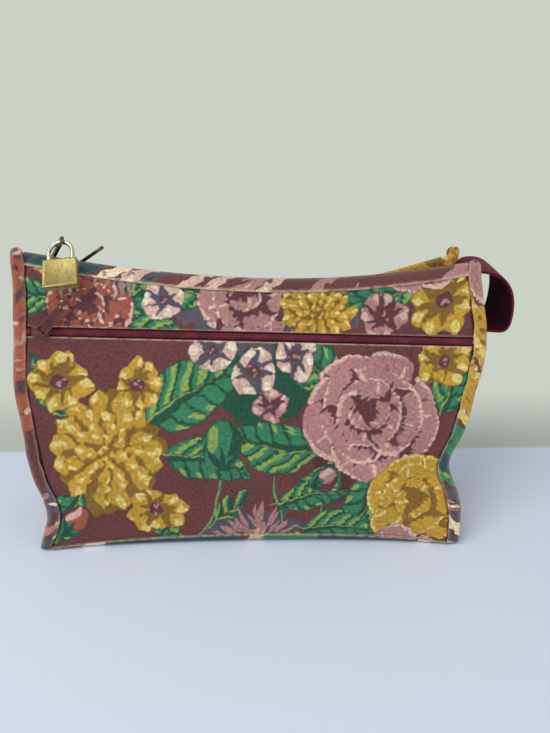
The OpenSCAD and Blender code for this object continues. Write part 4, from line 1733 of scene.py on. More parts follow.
@dataclass
class BodyPanels:
    """The back, the bottom and the two gussets."""

    shape: PouchShape
    wardrobe: Wardrobe
    design: FloralPrint
    front: FrontPanels
    back_belly: float = 5.0
    gusset_inset: float = 2.0
    floor_roll: float = 9.0
    under: StripPrint = StripPrint(
        ((Ink.CREAM, -142, -128), (Ink.FOREST, -128, -96), (Ink.TEAL, -96, -34), (Ink.BLUSH, -30, -18),
         (Ink.FERN, -18, 18), (Ink.TEAL, 18, 66), (Ink.FOREST, 66, 88), (Ink.CREAM, 88, 96),
         (Ink.FERN, 100, 112), (Ink.YELLOW, 112, 145)), 0.3, 85, girth=95.0, stroke_gap=0.8)

    def build(self) -> None:
        """Builds the four sheets."""
        self._gusset(-1)
        self._gusset(1)
        self._back()
        self._bottom()

    def _back(self) -> None:
        """The back panel, from the right seam to the left one as seen from behind."""
        shape = self.shape
        share, rise = np.meshgrid(np.linspace(0, 1, 190), graded(96, 172), indexing="ij")
        x = mix(shape.half_right, -shape.half_left, share)
        for _ in range(3):
            top = shape.back_fold_z(x) - shape.band_rise - shape.hem_gap
            z = mix(shape.panel_foot, top, rise)
            left = shape.back_left_edge(z) - shape.under_binding
            x = mix(shape.right_edge(z) + shape.under_binding, left, share)
        side = np.minimum(shape.right_edge(z) - x, x - shape.back_left_edge(z))
        free = unit((top - z) / 14) * unit(z / 12)
        out = self.back_belly * arch(share) * np.maximum(0, np.sin(pi * z / top))
        out += (1.0 * Ripples(61, 50, 130).at(x, z) + 0.25 * Ripples(62, 16, 40).at(x, z)) * free
        out += 0.35 * np.sin(z / 5.0 + 2 * Ripples(63, 40, 90).at(x, z)) * np.exp(-side / 7) * free
        out -= seam_dip(side)
        points = stack(x, shape.back_y(z) + out, z)
        cloth = stack(-x, z)
        # its foot is paler: wear together with a painted highlight
        ClothPiece("back_cloth", "back_panel", points, cloth, (278, 176), Held.STRETCHED,
                   self.design, (96, 88),
                   fold_wear_and_highlight=0.7 * edge_wear_and_highlight(z - shape.panel_foot, 1.4)).build(self.wardrobe)

    def _bottom(self) -> None:
        """The bottom, flat on the floor and rolled up to the front panel's lifted foot."""
        shape = self.shape
        shares = np.linspace(0, 1, 170)
        foot_x, foot_y, foot_z = self.front.foot(shares)
        back = shape.base_back - 4.0
        turn = np.linspace(0.2, pi / 2, 5)
        heel = stack(back + 3.4 * np.sin(turn), 1.9 * (1 - np.cos(turn)))
        rows = []
        for y, z in zip(foot_y, foot_z):
            start, knee, floor = (y + 0.5, z - 0.3), (y + 1.0, 0.0), (y + self.floor_roll, 0.0)
            front = bend(np.array(start), np.array(knee), np.array(floor), np.linspace(0, 1, 14))
            rows.append(np.concatenate([front, np.linspace(floor, (back, 0.0), 46)[1:], heel]))
        section = np.array(rows)
        across = np.repeat(foot_x[:, None, None], section.shape[1], axis=1)
        points = np.concatenate([across, section], axis=2)[:, ::-1]
        length = lengths(points)
        cloth = stack(points[..., 0], length)
        from_front = length[:, -1:] - length
        # its front roll is paler: wear together with a painted highlight
        ClothPiece("bottom_cloth", "bottom_panel", points, cloth, (272, 92), Held.STRETCHED, self.under,
                   fold_wear_and_highlight=edge_wear_and_highlight(from_front, 1.8)).build(self.wardrobe)

    def _gusset(self, side: int) -> None:
        """One end panel, dented inward at mid height; its top follows the bands and dips at the zip.

        Args:
            side: -1 for the left end, 1 for the right one.
        """
        shape = self.shape
        shares = np.linspace(0, 1, 66)
        if side < 0:
            shares = shares[::-1]
        share, rise = np.meshgrid(shares, graded(100, 180), indexing="ij")
        inset, crown = self.gusset_inset, shape.gusset_top
        end = -shape.half_left if side < 0 else shape.half_right
        top = self._roof(end, mix(shape.front_y(crown) + inset, shape.back_y(crown) - inset, share))
        z = mix(shape.panel_foot, top, rise)
        front_x = shape.left_edge(z) if side < 0 else shape.right_edge(z)
        back_x = shape.back_left_edge(z) if side < 0 else shape.right_edge(z)
        y = mix(shape.front_y(z) + inset, shape.back_y(z) - inset, share)
        free = np.sin(pi * share) * unit((top - z) / 12) * unit(z / 10)
        waves = 0.8 * Ripples(70 + side, 30, 80).at(y, z) + 0.25 * Ripples(75 + side, 12, 26).at(y, z)
        inward = 0.3 + shape.gusset_dent(share, z) + waves * free
        x = mix(front_x, back_x, share) - side * inward
        cloth = stack(side * y, z)
        name = "left" if side < 0 else "right"
        points = stack(x, y, z)
        ClothPiece(f"{name}_gusset_cloth", f"{name}_gusset", points, cloth, (72, 176), Held.STRETCHED,
                   self.design, (-40 + 110 * side, 60)).build(self.wardrobe)

    def _roof(self, x: float, y: Array) -> Array:
        """Height of the gusset's upper edge below the bands and the main zip.

        Args:
            x: Place of the gusset across.
            y: Places from front to back.

        Returns:
            Heights.
        """
        shape = self.shape
        front_seam = shape.front_fold_z(x) - shape.band_rise
        back_seam = shape.back_fold_z(x) - shape.band_rise
        front_y, back_y = shape.front_y(front_seam), shape.back_y(back_seam)
        front = mix(front_seam, shape.front_fold_z(x), (y - front_y) / (-shape.front_fold - front_y)) - 0.8
        back = mix(back_seam, shape.back_fold_z(x), (back_y - y) / (back_y - shape.back_fold)) - 0.8
        behind = np.where(y > shape.back_fold, back, shape.zip_z(x) + 0.8)
        return np.where(y < -shape.front_fold, front, behind)


@dataclass
class Trim:
    """The side bindings and the two top bands."""

    shape: PouchShape
    wardrobe: Wardrobe
    binding_w: float = 8.0
    corner: float = 7.0
    end_round: float = 3.6
    binding_thick: float = 0.5
    band_thick: float = 0.7
    tuck: Pair = (0.012, 0.03)  # shares by which the front band's ends run under the bindings
    left_tops: Pair = (198.5, 189.0)
    right_tops: Pair = (192.0, 195.0)
    left_binding: StripPrint = StripPrint(
        ((Ink.CORAL, -5, 20), (Ink.PLUM, 20, 25), (Ink.CORAL, 28, 50), (Ink.MAUVE, 50, 55),
         (Ink.CORAL, 55, 78), (Ink.PLUM, 80, 86), (Ink.CORAL, 86, 110), (Ink.PLUM, 116, 136),
         (Ink.SLATE, 150, 170), (Ink.MAUVE, 176, 182), (Ink.SLATE, 184, 204), (Ink.YELLOW, 300, 330),
         (Ink.FERN, 350, 380), (Ink.MAUVE, 400, 420)), 0.9, 81)
    right_binding: StripPrint = StripPrint(
        ((Ink.MAUVE, -5, 16), (Ink.BLUSH, 16, 20), (Ink.YELLOW, 22, 60), (Ink.LEMON, 48, 56),
         (Ink.YELLOW, 62, 92), (Ink.LEMON, 92, 100), (Ink.FERN, 104, 122), (Ink.TEAL, 122, 134),
         (Ink.FERN, 134, 144), (Ink.SLATE, 146, 168), (Ink.CREAM, 170, 178), (Ink.SLATE, 182, 192),
         (Ink.YELLOW, 290, 330), (Ink.OCHRE, 330, 350), (Ink.YELLOW, 350, 400), (Ink.CORAL, 430, 450),
         (Ink.YELLOW, 450, 520), (Ink.BLUSH, 468, 472)), 0.9, 82)
    front_band: StripPrint = StripPrint(
        ((Ink.TEAL, -150, -102), (Ink.SLATE, -122, -116), (Ink.CREAM, -98, -86), (Ink.BLUSH, -84, -72),
         (Ink.SLATE, -72, -64), (Ink.BLUSH, -48, -38), (Ink.PLUM, -38, -33), (Ink.BLUSH, -33, -24),
         (Ink.MAUVE, -14, 0), (Ink.BLUSH, 2, 9), (Ink.PLUM, 14, 26), (Ink.MAUVE, 34, 42),
         (Ink.PLUM, 60, 70), (Ink.MAUVE, 118, 150)), 0.8, 83)
    back_band: StripPrint = StripPrint(
        ((Ink.YELLOW, -150, -90), (Ink.LEMON, -110, -102), (Ink.OCHRE, -88, -70), (Ink.FERN, -40, -10),
         (Ink.MAUVE, 0, 30), (Ink.BLUSH, 20, 26), (Ink.YELLOW, 56, 104), (Ink.OCHRE, 104, 114),
         (Ink.YELLOW, 114, 150)), 0.8, 84)

    def build(self) -> None:
        """Builds the four strips."""
        self._binding("left", -1, self.left_tops, self.left_binding)
        self._binding("right", 1, self.right_tops, self.right_binding)
        self._band("front", self.front_band)
        self._band("back", self.back_band)

    def _binding_line(self, front_top: float, back_top: float) -> Array:
        """Path of a binding in the plane of a gusset: down the front, along the floor and up the back.

        Args:
            front_top: Height of its front end.
            back_top: Height of its back end.

        Returns:
            Points of y and z.
        """
        shape, corner = self.shape, self.corner
        steps = graded(130, front_top - corner, 5.0, 0.5)
        front_z = mix(front_top, corner, steps)
        back_z = mix(corner, back_top, steps)
        turn = np.linspace(0, 1, 12)[1:-1]
        front = stack(shape.front_y(front_z), front_z)
        back = stack(shape.back_y(back_z), back_z)
        floor_front = np.array([-shape.base_front + corner, 0.0])
        floor_back = np.array([shape.base_back - corner, 0.0])
        floor = np.linspace(floor_front, floor_back, 50)
        return np.concatenate([
            front, bend(front[-1], np.array([-shape.base_front, 0.0]), floor_front, turn), floor,
            bend(floor_back, np.array([shape.base_back, 0.0]), back[0], turn), back])

    def _binding(self, name: str, side: int, tops: Pair, pattern: StripPrint) -> None:
        """One folded strip: an outer face, a rounded fold at the free edge and an inner face.

        Args:
            name: Its end of the pouch.
            side: -1 for the left end, 1 for the right one.
            tops: Heights of its front and back ends.
            pattern: What is printed on it.
        """
        shape, wide = self.shape, self.binding_w
        line = self._binding_line(*tops)
        along = lengths(line)
        way = headings(line)
        out = stack(way[:, 1], -way[:, 0])
        z = line[:, 1]
        edge = shape.right_edge(z)
        order = facing(side)
        if side < 0:
            edge = np.where(line[:, 0] < 0, shape.left_edge(z), shape.back_left_edge(z))
        profile = self._binding_profile()
        floor = unit(z / 8)
        from_end = np.minimum(along, along[-1] - along)
        ends = unit(from_end / 3.0) ** 0.5
        cut = self.end_round - np.sqrt(self.end_round**2 - np.clip(self.end_round - from_end, 0, None) ** 2)
        flutter = 0.45 * Ripples(90 + side, 14, 40).at(along) * floor
        waver = 0.5 * Ripples(93 + side, 16, 60).at(along)
        ragged = 0.3 * Ripples(96 + side, 8, 20).at(along)
        points = []
        for a, n in profile:
            reach = cut + a * (1 - 2 * cut / wide) + waver * (a / wide) + ragged * (a < 1)
            height = (n + 0.9 * floor) * (0.35 + 0.65 * ends) - 1.3 * (1 - ends) * 0.65 + flutter * (a / wide)
            height += (0.7 if n > -1.3 else -0.3) * bump(from_end, 6.0, 4.0)
            height = np.where(z < 1.0, np.minimum(height, 0.0), height)
            place = line + height[:, None] * out
            points.append(stack(edge + side * reach, place[:, 0], place[:, 1]))
        points = np.array(points).transpose(1, 0, 2)
        girth = lengths(profile)
        grid_along, grid_girth = np.meshgrid(along, girth, indexing="ij")
        # pale inner edge and fold: wear together with a painted highlight
        wear = np.maximum(0.4 * bump(grid_girth, 1.2, 0.9), 0.35 * bump(grid_girth, girth[9], 1.6))
        cloth = stack(grid_along, grid_girth)
        ClothPiece(f"{name}_binding_cloth", f"{name}_binding", points[:, order], cloth[:, order],
                   (20, float(along[-1])), Held.FOLDED, pattern, thickness=self.binding_thick,
                   fold_wear_and_highlight=wear[:, order], stitch=np.abs(grid_girth - 2.6)[:, order],
                   slot="binding_cloth").build(self.wardrobe)

    def _binding_profile(self) -> Array:
        """Cross-section of a binding.

        Returns:
            Points across from the seam and out of the panel.
        """
        wide = self.binding_w
        front = [(0.2, -1.0), (-0.5, -0.55), (-0.3, -0.05), (0.5, 0.2),
                 (1.6, 0.1), (2.6, -0.08), (3.8, 0.12), (5.4, 0.15)]
        fold = [(wide - 1.2, -0.05), (wide - 0.35, -0.5), (wide, -1.3),
                (wide - 0.35, -2.1), (wide - 1.2, -2.6)]
        back = [(5.4, -2.75), (3.8, -2.7), (2.2, -2.6), (0.8, -2.7), (0.2, -2.5)]
        return np.array(front + fold + back)

    def _band(self, name: str, pattern: StripPrint) -> None:
        """One top band: a stitched lower edge, a padded slope, a rounded fold and a wall down to the zip.

        Args:
            name: Its side, front or back.
            pattern: What is printed on it.
        """
        shape = self.shape
        sign = 1 if name == "front" else -1
        places = np.linspace(-shape.half_left - 1.5, shape.half_right + 1.5, 230)
        fold_z = shape.front_fold_z(places) if sign > 0 else shape.back_fold_z(places)
        fold_y = np.full_like(places, -shape.front_fold if sign > 0 else shape.back_fold)
        seam_z = fold_z - shape.band_rise
        seam_y = shape.front_y(seam_z) if sign > 0 else shape.back_y(seam_z)
        foot_z = shape.zip_z(places) - 1.2
        run = stack(fold_y - seam_y, fold_z - seam_z)
        slope = run / np.linalg.norm(run, axis=1, keepdims=True)
        normal = stack(-sign * slope[:, 1], sign * slope[:, 0])
        seam, fold = stack(seam_y, seam_z), stack(fold_y, fold_z)
        panel_down = np.array([-sign * 0.16, -0.987])
        panel_out = np.array([-sign * 0.987, 0.16])
        puff = 1.0 + 0.35 * Ripples(101 + sign, 18, 60).at(places)
        lines = [
            seam - 0.3 * panel_down - 0.1 * panel_out,
            seam + 0.4 * panel_down + 0.25 * panel_out,
            seam + 0.2 * panel_down + 0.75 * panel_out,
            seam - 0.5 * panel_down + 0.85 * panel_out,
        ]
        for share in (0.12, 0.18, 0.26, 0.38, 0.52, 0.66, 0.79, 0.89):
            rise = np.sin(pi * share**0.7) * puff + 0.35 * (1 - share)
            lines.append(seam + share * run + rise[:, None] * normal)
        inward = np.array([float(sign), 0.0])
        for angle in np.linspace(0.15, 1.0, 5) * pi / 2:
            drop = np.array([0.0, 1.3 * sin(angle) ** 0.8 - 1.3])
            lines.append(fold + (0.1 - 1.3 * cos(angle)) * inward + drop)
        for share in (0.25, 0.5, 0.75, 1.0):
            wall = fold + 0.4 * inward
            wall[:, 1] = mix(fold_z - 1.0, foot_z, share)
            lines.append(wall)
        section = np.array(lines).transpose(1, 0, 2)
        pucker = 0.22 * np.sin(places / 2.1 + 3 * Ripples(105 + sign, 20, 60).at(places))
        section[:, 3:8, 1] += pucker[:, None] * np.array([0.6, 1.0, 0.8, 0.5, 0.2])
        girth = lengths(section)
        across = np.repeat(places[:, None], section.shape[1], axis=1)
        cloth = stack(across, girth)
        if sign < 0:
            across = across + self._flare(across, section[..., 0], section[..., 1])
        else:
            up = unit((section[..., 1] - seam_z[:, None]) / shape.band_rise)
            end = unit(np.abs(across) / shape.half_left) ** 20
            across = across * (1 + np.where(across < 0, *self.tuck) * up * end)
        points = np.concatenate([across[..., None], section], axis=2)
        # pale lower edge and fold: wear together with a painted highlight
        wear = np.maximum(bump(girth, 1.4, 0.9), 0.25 * bump(girth, girth[:, 14:15], 2.2))
        order = facing(sign)
        flat = (272, float(np.mean(girth[:, -1])))
        ClothPiece(f"{name}_band_cloth", f"{name}_top_band", points[order], cloth[order], flat,
                   Held.FOLDED, pattern, thickness=self.band_thick, fold_wear_and_highlight=wear[order],
                   stitch=np.abs(girth - 3.4)[order], slot="binding_cloth").build(self.wardrobe)

    def _flare(self, x: Array, y: Array, z: Array) -> Array:
        """How far the back band's left end runs on to the wider seam behind the left gusset.

        Args:
            x: Places across.
            y: Places from front to back.
            z: Heights.

        Returns:
            Distances across.
        """
        shape = self.shape
        depth = (y - shape.front_y(z)) / (shape.back_y(z) - shape.front_y(z))
        wider = shape.back_left_edge(z) - shape.left_edge(z)
        return wider * depth * unit(-x / shape.half_left) ** 8


@dataclass
class Zips:
    """Tapes and coils of the main zip and the pocket zip."""

    shape: PouchShape
    wardrobe: Wardrobe
    pitch: float = 1.55
    coil_in: float = 0.1
    tooth: Triple = (0.85, 1.65, 1.1)
    tooth_head: float = 0.45
    tooth_round: float = 0.24
    tape_w: float = 11.5
    tape_from: float = 0.9
    tape_level: float = -1.65
    tape_thick: float = 0.45
    pocket_lift: float = 0.5
    sink: float = 0.45
    end_gap: float = 1.5
    main_ends: Pair = (-135.6, 132.6)
    pocket_ends: Pair = (-143.4, 145.6)

    def build(self) -> None:
        """Builds four tapes and four coils."""
        tooth = self._tooth()
        for side, main_name, pocket_name in ((-1, "front", "lower"), (1, "back", "upper")):
            self._tape(f"main_tape_{main_name}", side)
            self._tape(f"pocket_tape_{pocket_name}", side)
            self._coil(f"main_coil_{main_name}", side, tooth)
            self._coil(f"pocket_coil_{pocket_name}", side, tooth)
        bpy.data.objects.remove(tooth)

    def _main_place(self, local: Array) -> Array:
        """Points beside the main zip: along, across and up from its line, in millimetres.

        Args:
            local: Places in the zip's own directions.

        Returns:
            The same places on the pouch.
        """
        shape = self.shape
        angle = local[..., 0] / shape.sag_radius
        radius = shape.sag_radius - local[..., 2]
        z = shape.chain_low + shape.sag_radius - radius * np.cos(angle)
        return stack(radius * np.sin(angle), shape.zip_mid + local[..., 1], z)

    def _pocket_place(self, local: Array) -> Array:
        """Points beside the pocket zip: along, up the panel and out of it, in millimetres.

        Args:
            local: Places in the zip's own directions.

        Returns:
            The same places on the pouch.
        """
        place = np.array(self.shape.pocket_frame())
        raised = local + np.array([0.0, 0.0, self.pocket_lift])
        return raised @ place[:3, :3].T + place[:3, 3] / MM

    def _run(self, name: str) -> tuple[float, float, Callable]:
        """Ends of a tape or coil along its zip, and what brings places beside that zip onto the pouch."""
        main = name.startswith("main")
        return (*self.main_ends, self._main_place) if main else (*self.pocket_ends, self._pocket_place)

    def _tape(self, name: str, side: int) -> None:
        """One woven tape with a beaded edge beside the coil.

        Args:
            name: CAD node that it replaces.
            side: -1 for the front or lower side, 1 for the other.
        """
        start, end, place = self._run(name)
        stations = np.linspace(start, end, 140)
        along, across = np.meshgrid(stations, np.linspace(0, self.tape_w, 14), indexing="ij")
        level = self.tape_level + 0.22 * bump(across, 2.2, 0.9)
        level = level + 0.05 * Ripples(111, 10, 40).at(along, across)
        local = stack(along, side * (self.tape_from + across), level)
        order = facing(side)
        cloth = stack(along, across)
        flat = (self.tape_w, end - start)
        ClothPiece(f"{name}_weave", name, place(local)[:, order], cloth[:, order], flat, Held.STRETCHED,
                   thickness=self.tape_thick, finish=TAPE).build(self.wardrobe)

    def _tooth(self) -> Thing:
        """One turn of a coil, lying across the zip with its head towards the middle.

        Returns:
            The turn, to be repeated.
        """
        bpy.ops.object.select_all(action="DESELECT")
        bpy.ops.mesh.primitive_cube_add(size=1.0)
        piece = bpy.context.active_object
        piece.scale = self.tooth
        bpy.ops.object.transform_apply(location=False, rotation=False, scale=True)
        pick_faces(piece, Vector((0, -1, 0)), 0.9)
        bpy.ops.mesh.extrude_region_move(TRANSFORM_OT_translate={"value": (0, -self.tooth_head, 0)})
        bpy.ops.transform.resize(value=(1.35, 1.0, 0.9))
        bpy.ops.object.mode_set(mode="OBJECT")
        modifier = piece.modifiers.new("Round", "BEVEL")
        modifier.width = self.tooth_round
        modifier.segments = 1
        apply_modifiers(piece)
        return piece

    def _coil(self, name: str, side: int, tooth: Thing) -> None:
        """A row of turns; the two rows of a zip are half a pitch apart.

        Args:
            name: CAD node that it replaces.
            side: -1 for the front or lower side, 1 for the other.
            tooth: The turn to repeat.
        """
        start, end, place = self._run(name)
        count = int((end - start - 2 * self.end_gap) / self.pitch)
        shape = np.array([v.co for v in tooth.data.vertices])
        shape[:, 1] = side * (shape[:, 1] + self.tooth[1] / 2 + self.coil_in + 0.15)
        faces = [tuple(f.vertices) if side > 0 else tuple(reversed(f.vertices)) for f in tooth.data.polygons]
        points, quads = [], []
        for turn in range(count):
            middle = start + self.end_gap + (turn + (0.5 if side > 0 else 0.0)) * self.pitch
            points.append(place(shape + np.array([middle, 0.0, -self.sink - self.tooth[2] / 2])))
            quads.extend(tuple(v + turn * len(shape) for v in f) for f in faces)
        mesh = bpy.data.meshes.new(f"{name}_teeth")
        mesh.from_pydata((np.concatenate(points) * MM).tolist(), [], quads)
        piece = bpy.data.objects.new(f"{name}_teeth", mesh)
        bpy.context.collection.objects.link(piece)
        activate(piece)
        bpy.ops.object.shade_smooth_by_angle(angle=radians(50))
        mesh.materials.append(self.wardrobe.get(NYLON))
        hand_over(piece, "pouch", NYLON.name, name)


@dataclass
class GrabLoop:
    """The loop of webbing sewn to the right gusset."""

    shape: PouchShape
    wardrobe: Wardrobe
    wide: float = 25.0
    thick: float = 1.6
    reach: float = 174.0
    top: float = 189.0
    low: float = 143.0
    sewn: Triple = (158.0, 167.0, 176.0)
    slack: float = 4.0  # how far the middle of the loop lies inside its line
    lean: Pair = (3.2, -4.2)  # how far the front edge moves, across and up

    def _seat(self, z: float) -> float:
        """Where the webbing lies on the gusset."""
        return float(self.shape.right_edge(z) - self.shape.gusset_dent(0.16, z)) + 0.3 + self.thick

    def line(self) -> Array:
        """Inner line of the loop, from its upper seam round to its lower one.

        Returns:
            Points of x and z.
        """
        low, middle, high = self.sewn
        side = np.array([self.reach - self.thick, mix(self.low, self.top, 0.42)])
        crest = np.array([mix(self.shape.half_right, self.reach, 0.4), self.top - self.thick])
        sole = np.array([mix(self.shape.half_right, self.reach, 0.72), self.low + self.thick])
        upper, lower = np.array([self._seat(high), high]), np.array([self._seat(low), low])
        bends = (
            (upper, upper + (0, 7), crest - (9, 0), crest),
            (crest, crest + (14, 0), side + (0, 16), side),
            (side, side - (0, 12), sole + (7, 0), sole),
            (sole, sole - (12, 0), lower - (0, 12), lower),
        )
        sewn_up = (middle + 0.3, mix(middle, high, 0.35), mix(middle, high, 0.7))
        sewn_down = (low, mix(low, middle, 0.35), mix(low, middle, 0.7), middle - 0.3)
        points = [np.array([self._seat(z), z]) for z in sewn_up]
        for a, b, c, d in bends:
            for t in np.linspace(0, 1, 25)[:-1]:
                points.append((1 - t) ** 3 * a + 3 * t * (1 - t) ** 2 * b + 3 * t**2 * (1 - t) * c + t**3 * d)
        return np.array(points + [np.array([self._seat(z), z]) for z in sewn_down])

    def build(self) -> None:
        """Builds the woven strip with a slightly raised selvedge; its front edge droops outwards."""
        line = self.line()
        along = lengths(line)
        way = headings(line)
        out = stack(-way[:, 1], way[:, 0])
        free = np.sin(pi * along / along[-1])
        rows = []
        for share in np.linspace(-1, 1, 27):
            lift = self.thick + 0.12 * bump(np.array(abs(share)), 0.95, 0.05) - 0.35 * abs(share) ** 6
            curl = 0.9 * free * share * np.sin(2.2 * pi * along / along[-1])
            place = line + (lift + curl - self.slack * free)[:, None] * out
            place = place - share * free[:, None] * np.array(self.lean)
            depth = np.full_like(along, self.shape.zip_mid + share * self.wide / 2)
            rows.append(stack(place[:, 0], depth, place[:, 1]))
        points = np.array(rows).transpose(1, 0, 2)
        across = np.linspace(0, self.wide, 27)
        cloth = stack(*np.meshgrid(along, across, indexing="ij"))
        flat = (self.wide, float(along[-1]))
        # the inner face takes the darker webbing, a painted shade
        ClothPiece("grab_loop_webbing", "grab_strap", points, cloth, flat, Held.FOLDED,
                   thickness=self.thick, finish=WEBBING, inside=WEBBING_SHADED_INSIDE).build(self.wardrobe)


@dataclass
class Hardware:
    """Sliders, pulls and the padlock, refined from their CAD solids."""

    wardrobe: Wardrobe
    pull_swell: float = 0.4

    def build(self) -> None:
        """Builds every metal piece."""
        bronze, enamel = (BRONZE, BRONZE_EDGE_HIGHLIGHT), (ENAMEL, ENAMEL_EDGE_HIGHLIGHT)
        brass, steel = (BRASS, BRASS_EDGE_HIGHLIGHT), (STEEL, STEEL)
        plan = (
            ("main_slider_left", "left_slider", bronze, 0.22),
            ("main_pull_left", "left_pull", bronze, 0.3),
            ("main_slider_right", "right_slider", bronze, 0.22),
            ("main_pull_right", "right_pull", bronze, 0.3),
            ("pocket_slider", "front_slider", enamel, 0.22),
            ("pocket_pull", "front_pull", enamel, 0.3),
            ("lock_body", "lock", brass, 0.4),
            ("lock_shackle", "shackle", steel, 0.0),
            ("lock_plug", "plug", steel, 0.1),
        )
        for entry in plan:
            self._metal(*entry)

    def _metal(self, node: str, body: str, finishes: tuple[MetalFinish, ...], edge: float) -> None:
        """One metal piece with rounded edges, mostly in a brighter finish that paints a highlight.

        Args:
            node: CAD node to refine.
            body: Body that it rides on.
            finishes: Finish of the faces, which names the slot too, and of the edges, mostly a brighter copy
                that paints a highlight.
            edge: Width of the rounded edges, in millimetres.
        """
        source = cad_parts[node]
        piece = bpy.data.objects.new(f"{node}_metal", source.data.copy())
        bpy.context.collection.objects.link(piece)
        piece.data.materials.clear()
        for finish in finishes:
            piece.data.materials.append(self.wardrobe.get(finish))
        activate(piece)
        bpy.ops.object.mode_set(mode="EDIT")
        bpy.ops.mesh.select_all(action="SELECT")
        bpy.ops.mesh.remove_doubles(threshold=0.00001)
        bpy.ops.mesh.dissolve_limited(angle_limit=radians(1.0))
        bpy.ops.object.mode_set(mode="OBJECT")
        if node.startswith("main_pull"):
            self._thicken(piece)
        if edge > 0:
            modifier = piece.modifiers.new("Round", "BEVEL")
            modifier.width = edge * MM
            modifier.segments = 2
            modifier.limit_method = "ANGLE"
            modifier.angle_limit = radians(40)
            # bevelled edges take the brighter finish, a painted highlight
            modifier.material = 1
            apply_modifiers(piece)
        activate(piece)
        bpy.ops.object.shade_smooth_by_angle(angle=radians(35))
        hand_over(piece, body, finishes[0].name, node)

    def _thicken(self, piece: Thing) -> None:
        """Moves the two broad faces of a pull apart, as cast metal is.

        Args:
            piece: The pull.
        """
        broad = max(piece.data.polygons, key=lambda face: face.area).normal.copy()
        for way in (broad, -broad):
            pick_faces(piece, way, 0.99)
            bpy.ops.transform.translate(value=way * self.pull_swell * MM)
            bpy.ops.object.mode_set(mode="OBJECT")


# The studio

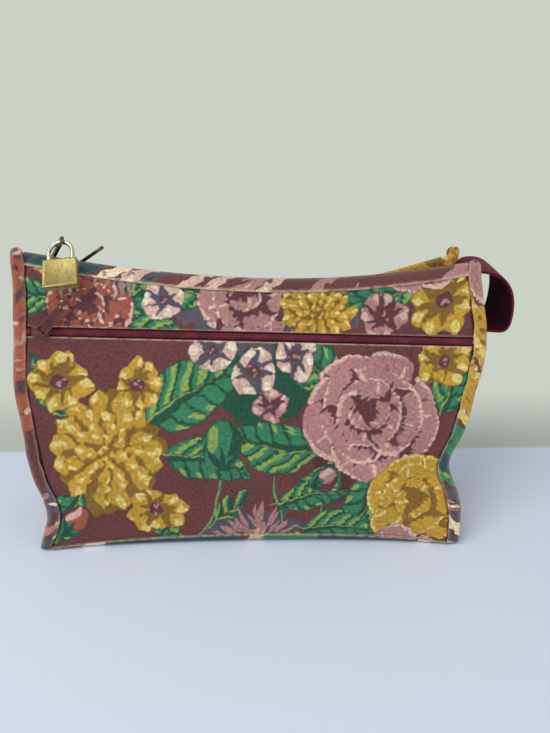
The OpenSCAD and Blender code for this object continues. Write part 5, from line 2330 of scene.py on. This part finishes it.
@dataclass
class Studio:
    """Floor, light and camera."""

    eye: Triple = (0.003, -0.359, 0.246)
    yaw: float = radians(2.1)
    pitch: float = radians(20.0)
    roll: float = radians(0.5)
    focal_px: float = 551.0
    image: tuple[int, int] = (550, 733)
    floor_white: Colour = (230, 239, 255)
    wall_tint: Colour = (203, 209, 198)
    wall_from: float = 0.092
    wall_blur: float = 0.004
    wall_fade: float = 0.16
    sky: tuple[float, float, float, float] = (0.93, 0.96, 1.0, 1.0)
    sky_strength: float = 0.43

    def build(self) -> None:
        """Sets up the floor, the lamps, the world and the camera."""
        scene = bpy.context.scene
        scene.view_settings.view_transform = "Standard"
        self._floor()
        self._world(scene)
        self._lamp("key", (-0.7, -0.75, 1.25), size=0.9, power=11.6)
        self._lamp("fill", (0.95, -0.85, 0.8), size=1.2, power=2.6)
        self._camera(scene)

    def _floor(self) -> None:
        """A wide pale floor that turns to the wall's tint with distance."""
        bpy.ops.object.select_all(action="DESELECT")
        bpy.ops.mesh.primitive_plane_add(size=24.0)
        floor = bpy.context.active_object
        floor.name = "studio_floor"
        finish = Finish("studio_floor")
        write = finish.write
        place = finish.object_place()
        parts = write.add("ShaderNodeSeparateXYZ")
        write.feed(parts.inputs[0], place)
        wall, blur = self.wall_from, self.wall_blur
        behind = write.span(parts.outputs[1], wall - blur, wall + blur)
        colour = write.blend(behind, linear(self.floor_white), linear(self.wall_tint))
        finish.settle(colour, 0.8, None, 0.0)
        glow = write.add("ShaderNodeEmission")
        glow.inputs["Color"].default_value = linear(self.wall_tint)
        path = write.add("ShaderNodeLightPath")
        mixer = write.add("ShaderNodeMixShader")
        far = write.span(parts.outputs[1], wall, wall + self.wall_fade)
        write.feed(mixer.inputs[0], write.times(far, path.outputs["Is Camera Ray"]))
        write.feed(mixer.inputs[1], finish.shader.outputs[0])
        write.feed(mixer.inputs[2], glow.outputs[0])
        out = finish.material.node_tree.nodes["Material Output"]
        write.feed(out.inputs["Surface"], mixer.outputs[0])
        floor.data.materials.append(finish.material)
        floor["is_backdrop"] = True

    def _world(self, scene: bpy.types.Scene) -> None:
        """Soft light from all sides, and the wall's tint where the camera looks past the floor.

        Args:
            scene: The scene.
        """
        world = bpy.data.worlds.new("studio_world")
        scene.world = world
        world.use_nodes = True
        write = NodeWriter(world.node_tree)
        background = world.node_tree.nodes["Background"]
        path = write.add("ShaderNodeLightPath")
        mirrored = write.math("MAXIMUM", path.outputs["Is Glossy Ray"], path.outputs["Is Transmission Ray"])
        seen = write.math("MAXIMUM", path.outputs["Is Camera Ray"], mirrored)
        tint = write.blend(seen, self.sky, linear(self.wall_tint))
        write.feed(background.inputs["Color"], tint)
        write.feed(background.inputs["Strength"], write.span(seen, 0.0, 1.0, self.sky_strength, 1.0))

    @staticmethod
    def _lamp(name: str, place: Triple, size: float, power: float) -> None:
        """A large soft lamp that faces the pouch.

        Args:
            name: Name of the lamp.
            place: Where it hangs, in metres.
            size: Its width, in metres.
            power: Its power, in watts.
        """
        lamp = bpy.data.lights.new(name, "AREA")
        lamp.size = size
        lamp.energy = power
        holder = bpy.data.objects.new(name, lamp)
        holder.location = place
        aim = Vector((0.0, 0.0, 0.09)) - Vector(place)
        holder.rotation_euler = aim.to_track_quat("-Z", "Y").to_euler()
        bpy.context.collection.objects.link(holder)

    def _camera(self, scene: bpy.types.Scene) -> None:
        """The camera at the photograph's viewing angle.

        Args:
            scene: The scene.
        """
        forward = Vector((sin(self.yaw), cos(self.yaw), 0.0))
        ahead = forward * cos(self.pitch) - Vector((0.0, 0.0, sin(self.pitch)))
        level = Vector((cos(self.yaw), -sin(self.yaw), 0.0))
        upright = level.cross(ahead)
        right = level * cos(self.roll) + upright * sin(self.roll)
        up = upright * cos(self.roll) - level * sin(self.roll)
        turn = Matrix((right, up, -ahead)).transposed()
        lens = bpy.data.cameras.new("camera")
        lens.sensor_width = 36.0
        lens.lens = lens.sensor_width * self.focal_px / max(self.image)
        camera = bpy.data.objects.new("camera", lens)
        camera.matrix_world = Matrix.Translation(Vector(self.eye)) @ turn.to_4x4()
        bpy.context.collection.objects.link(camera)
        scene.camera = camera


def main() -> None:
    """Builds the pouch piece by piece, sets up the studio and measures its bounds before and after."""
    logging.basicConfig(level=logging.INFO, format="%(name)s: %(message)s")
    solids_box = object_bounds()
    bpy.ops.object.select_all(action="DESELECT")
    shape = PouchShape()
    design = FloralPrint()
    wardrobe = Wardrobe()
    front = FrontPanels(shape, wardrobe, design)
    body = BodyPanels(shape, wardrobe, design, front)
    fittings = [kind(shape, wardrobe) for kind in (Trim, Zips, GrabLoop)]
    for assembly in (front, body, *fittings, Hardware(wardrobe)):
        assembly.build()
    Studio().build()
    boxes = {"solids": solids_box, "dressed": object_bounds()}
    {name: np.array(box).tolist() for name, box in boxes.items()}


if __name__ == "__main__":
    main()
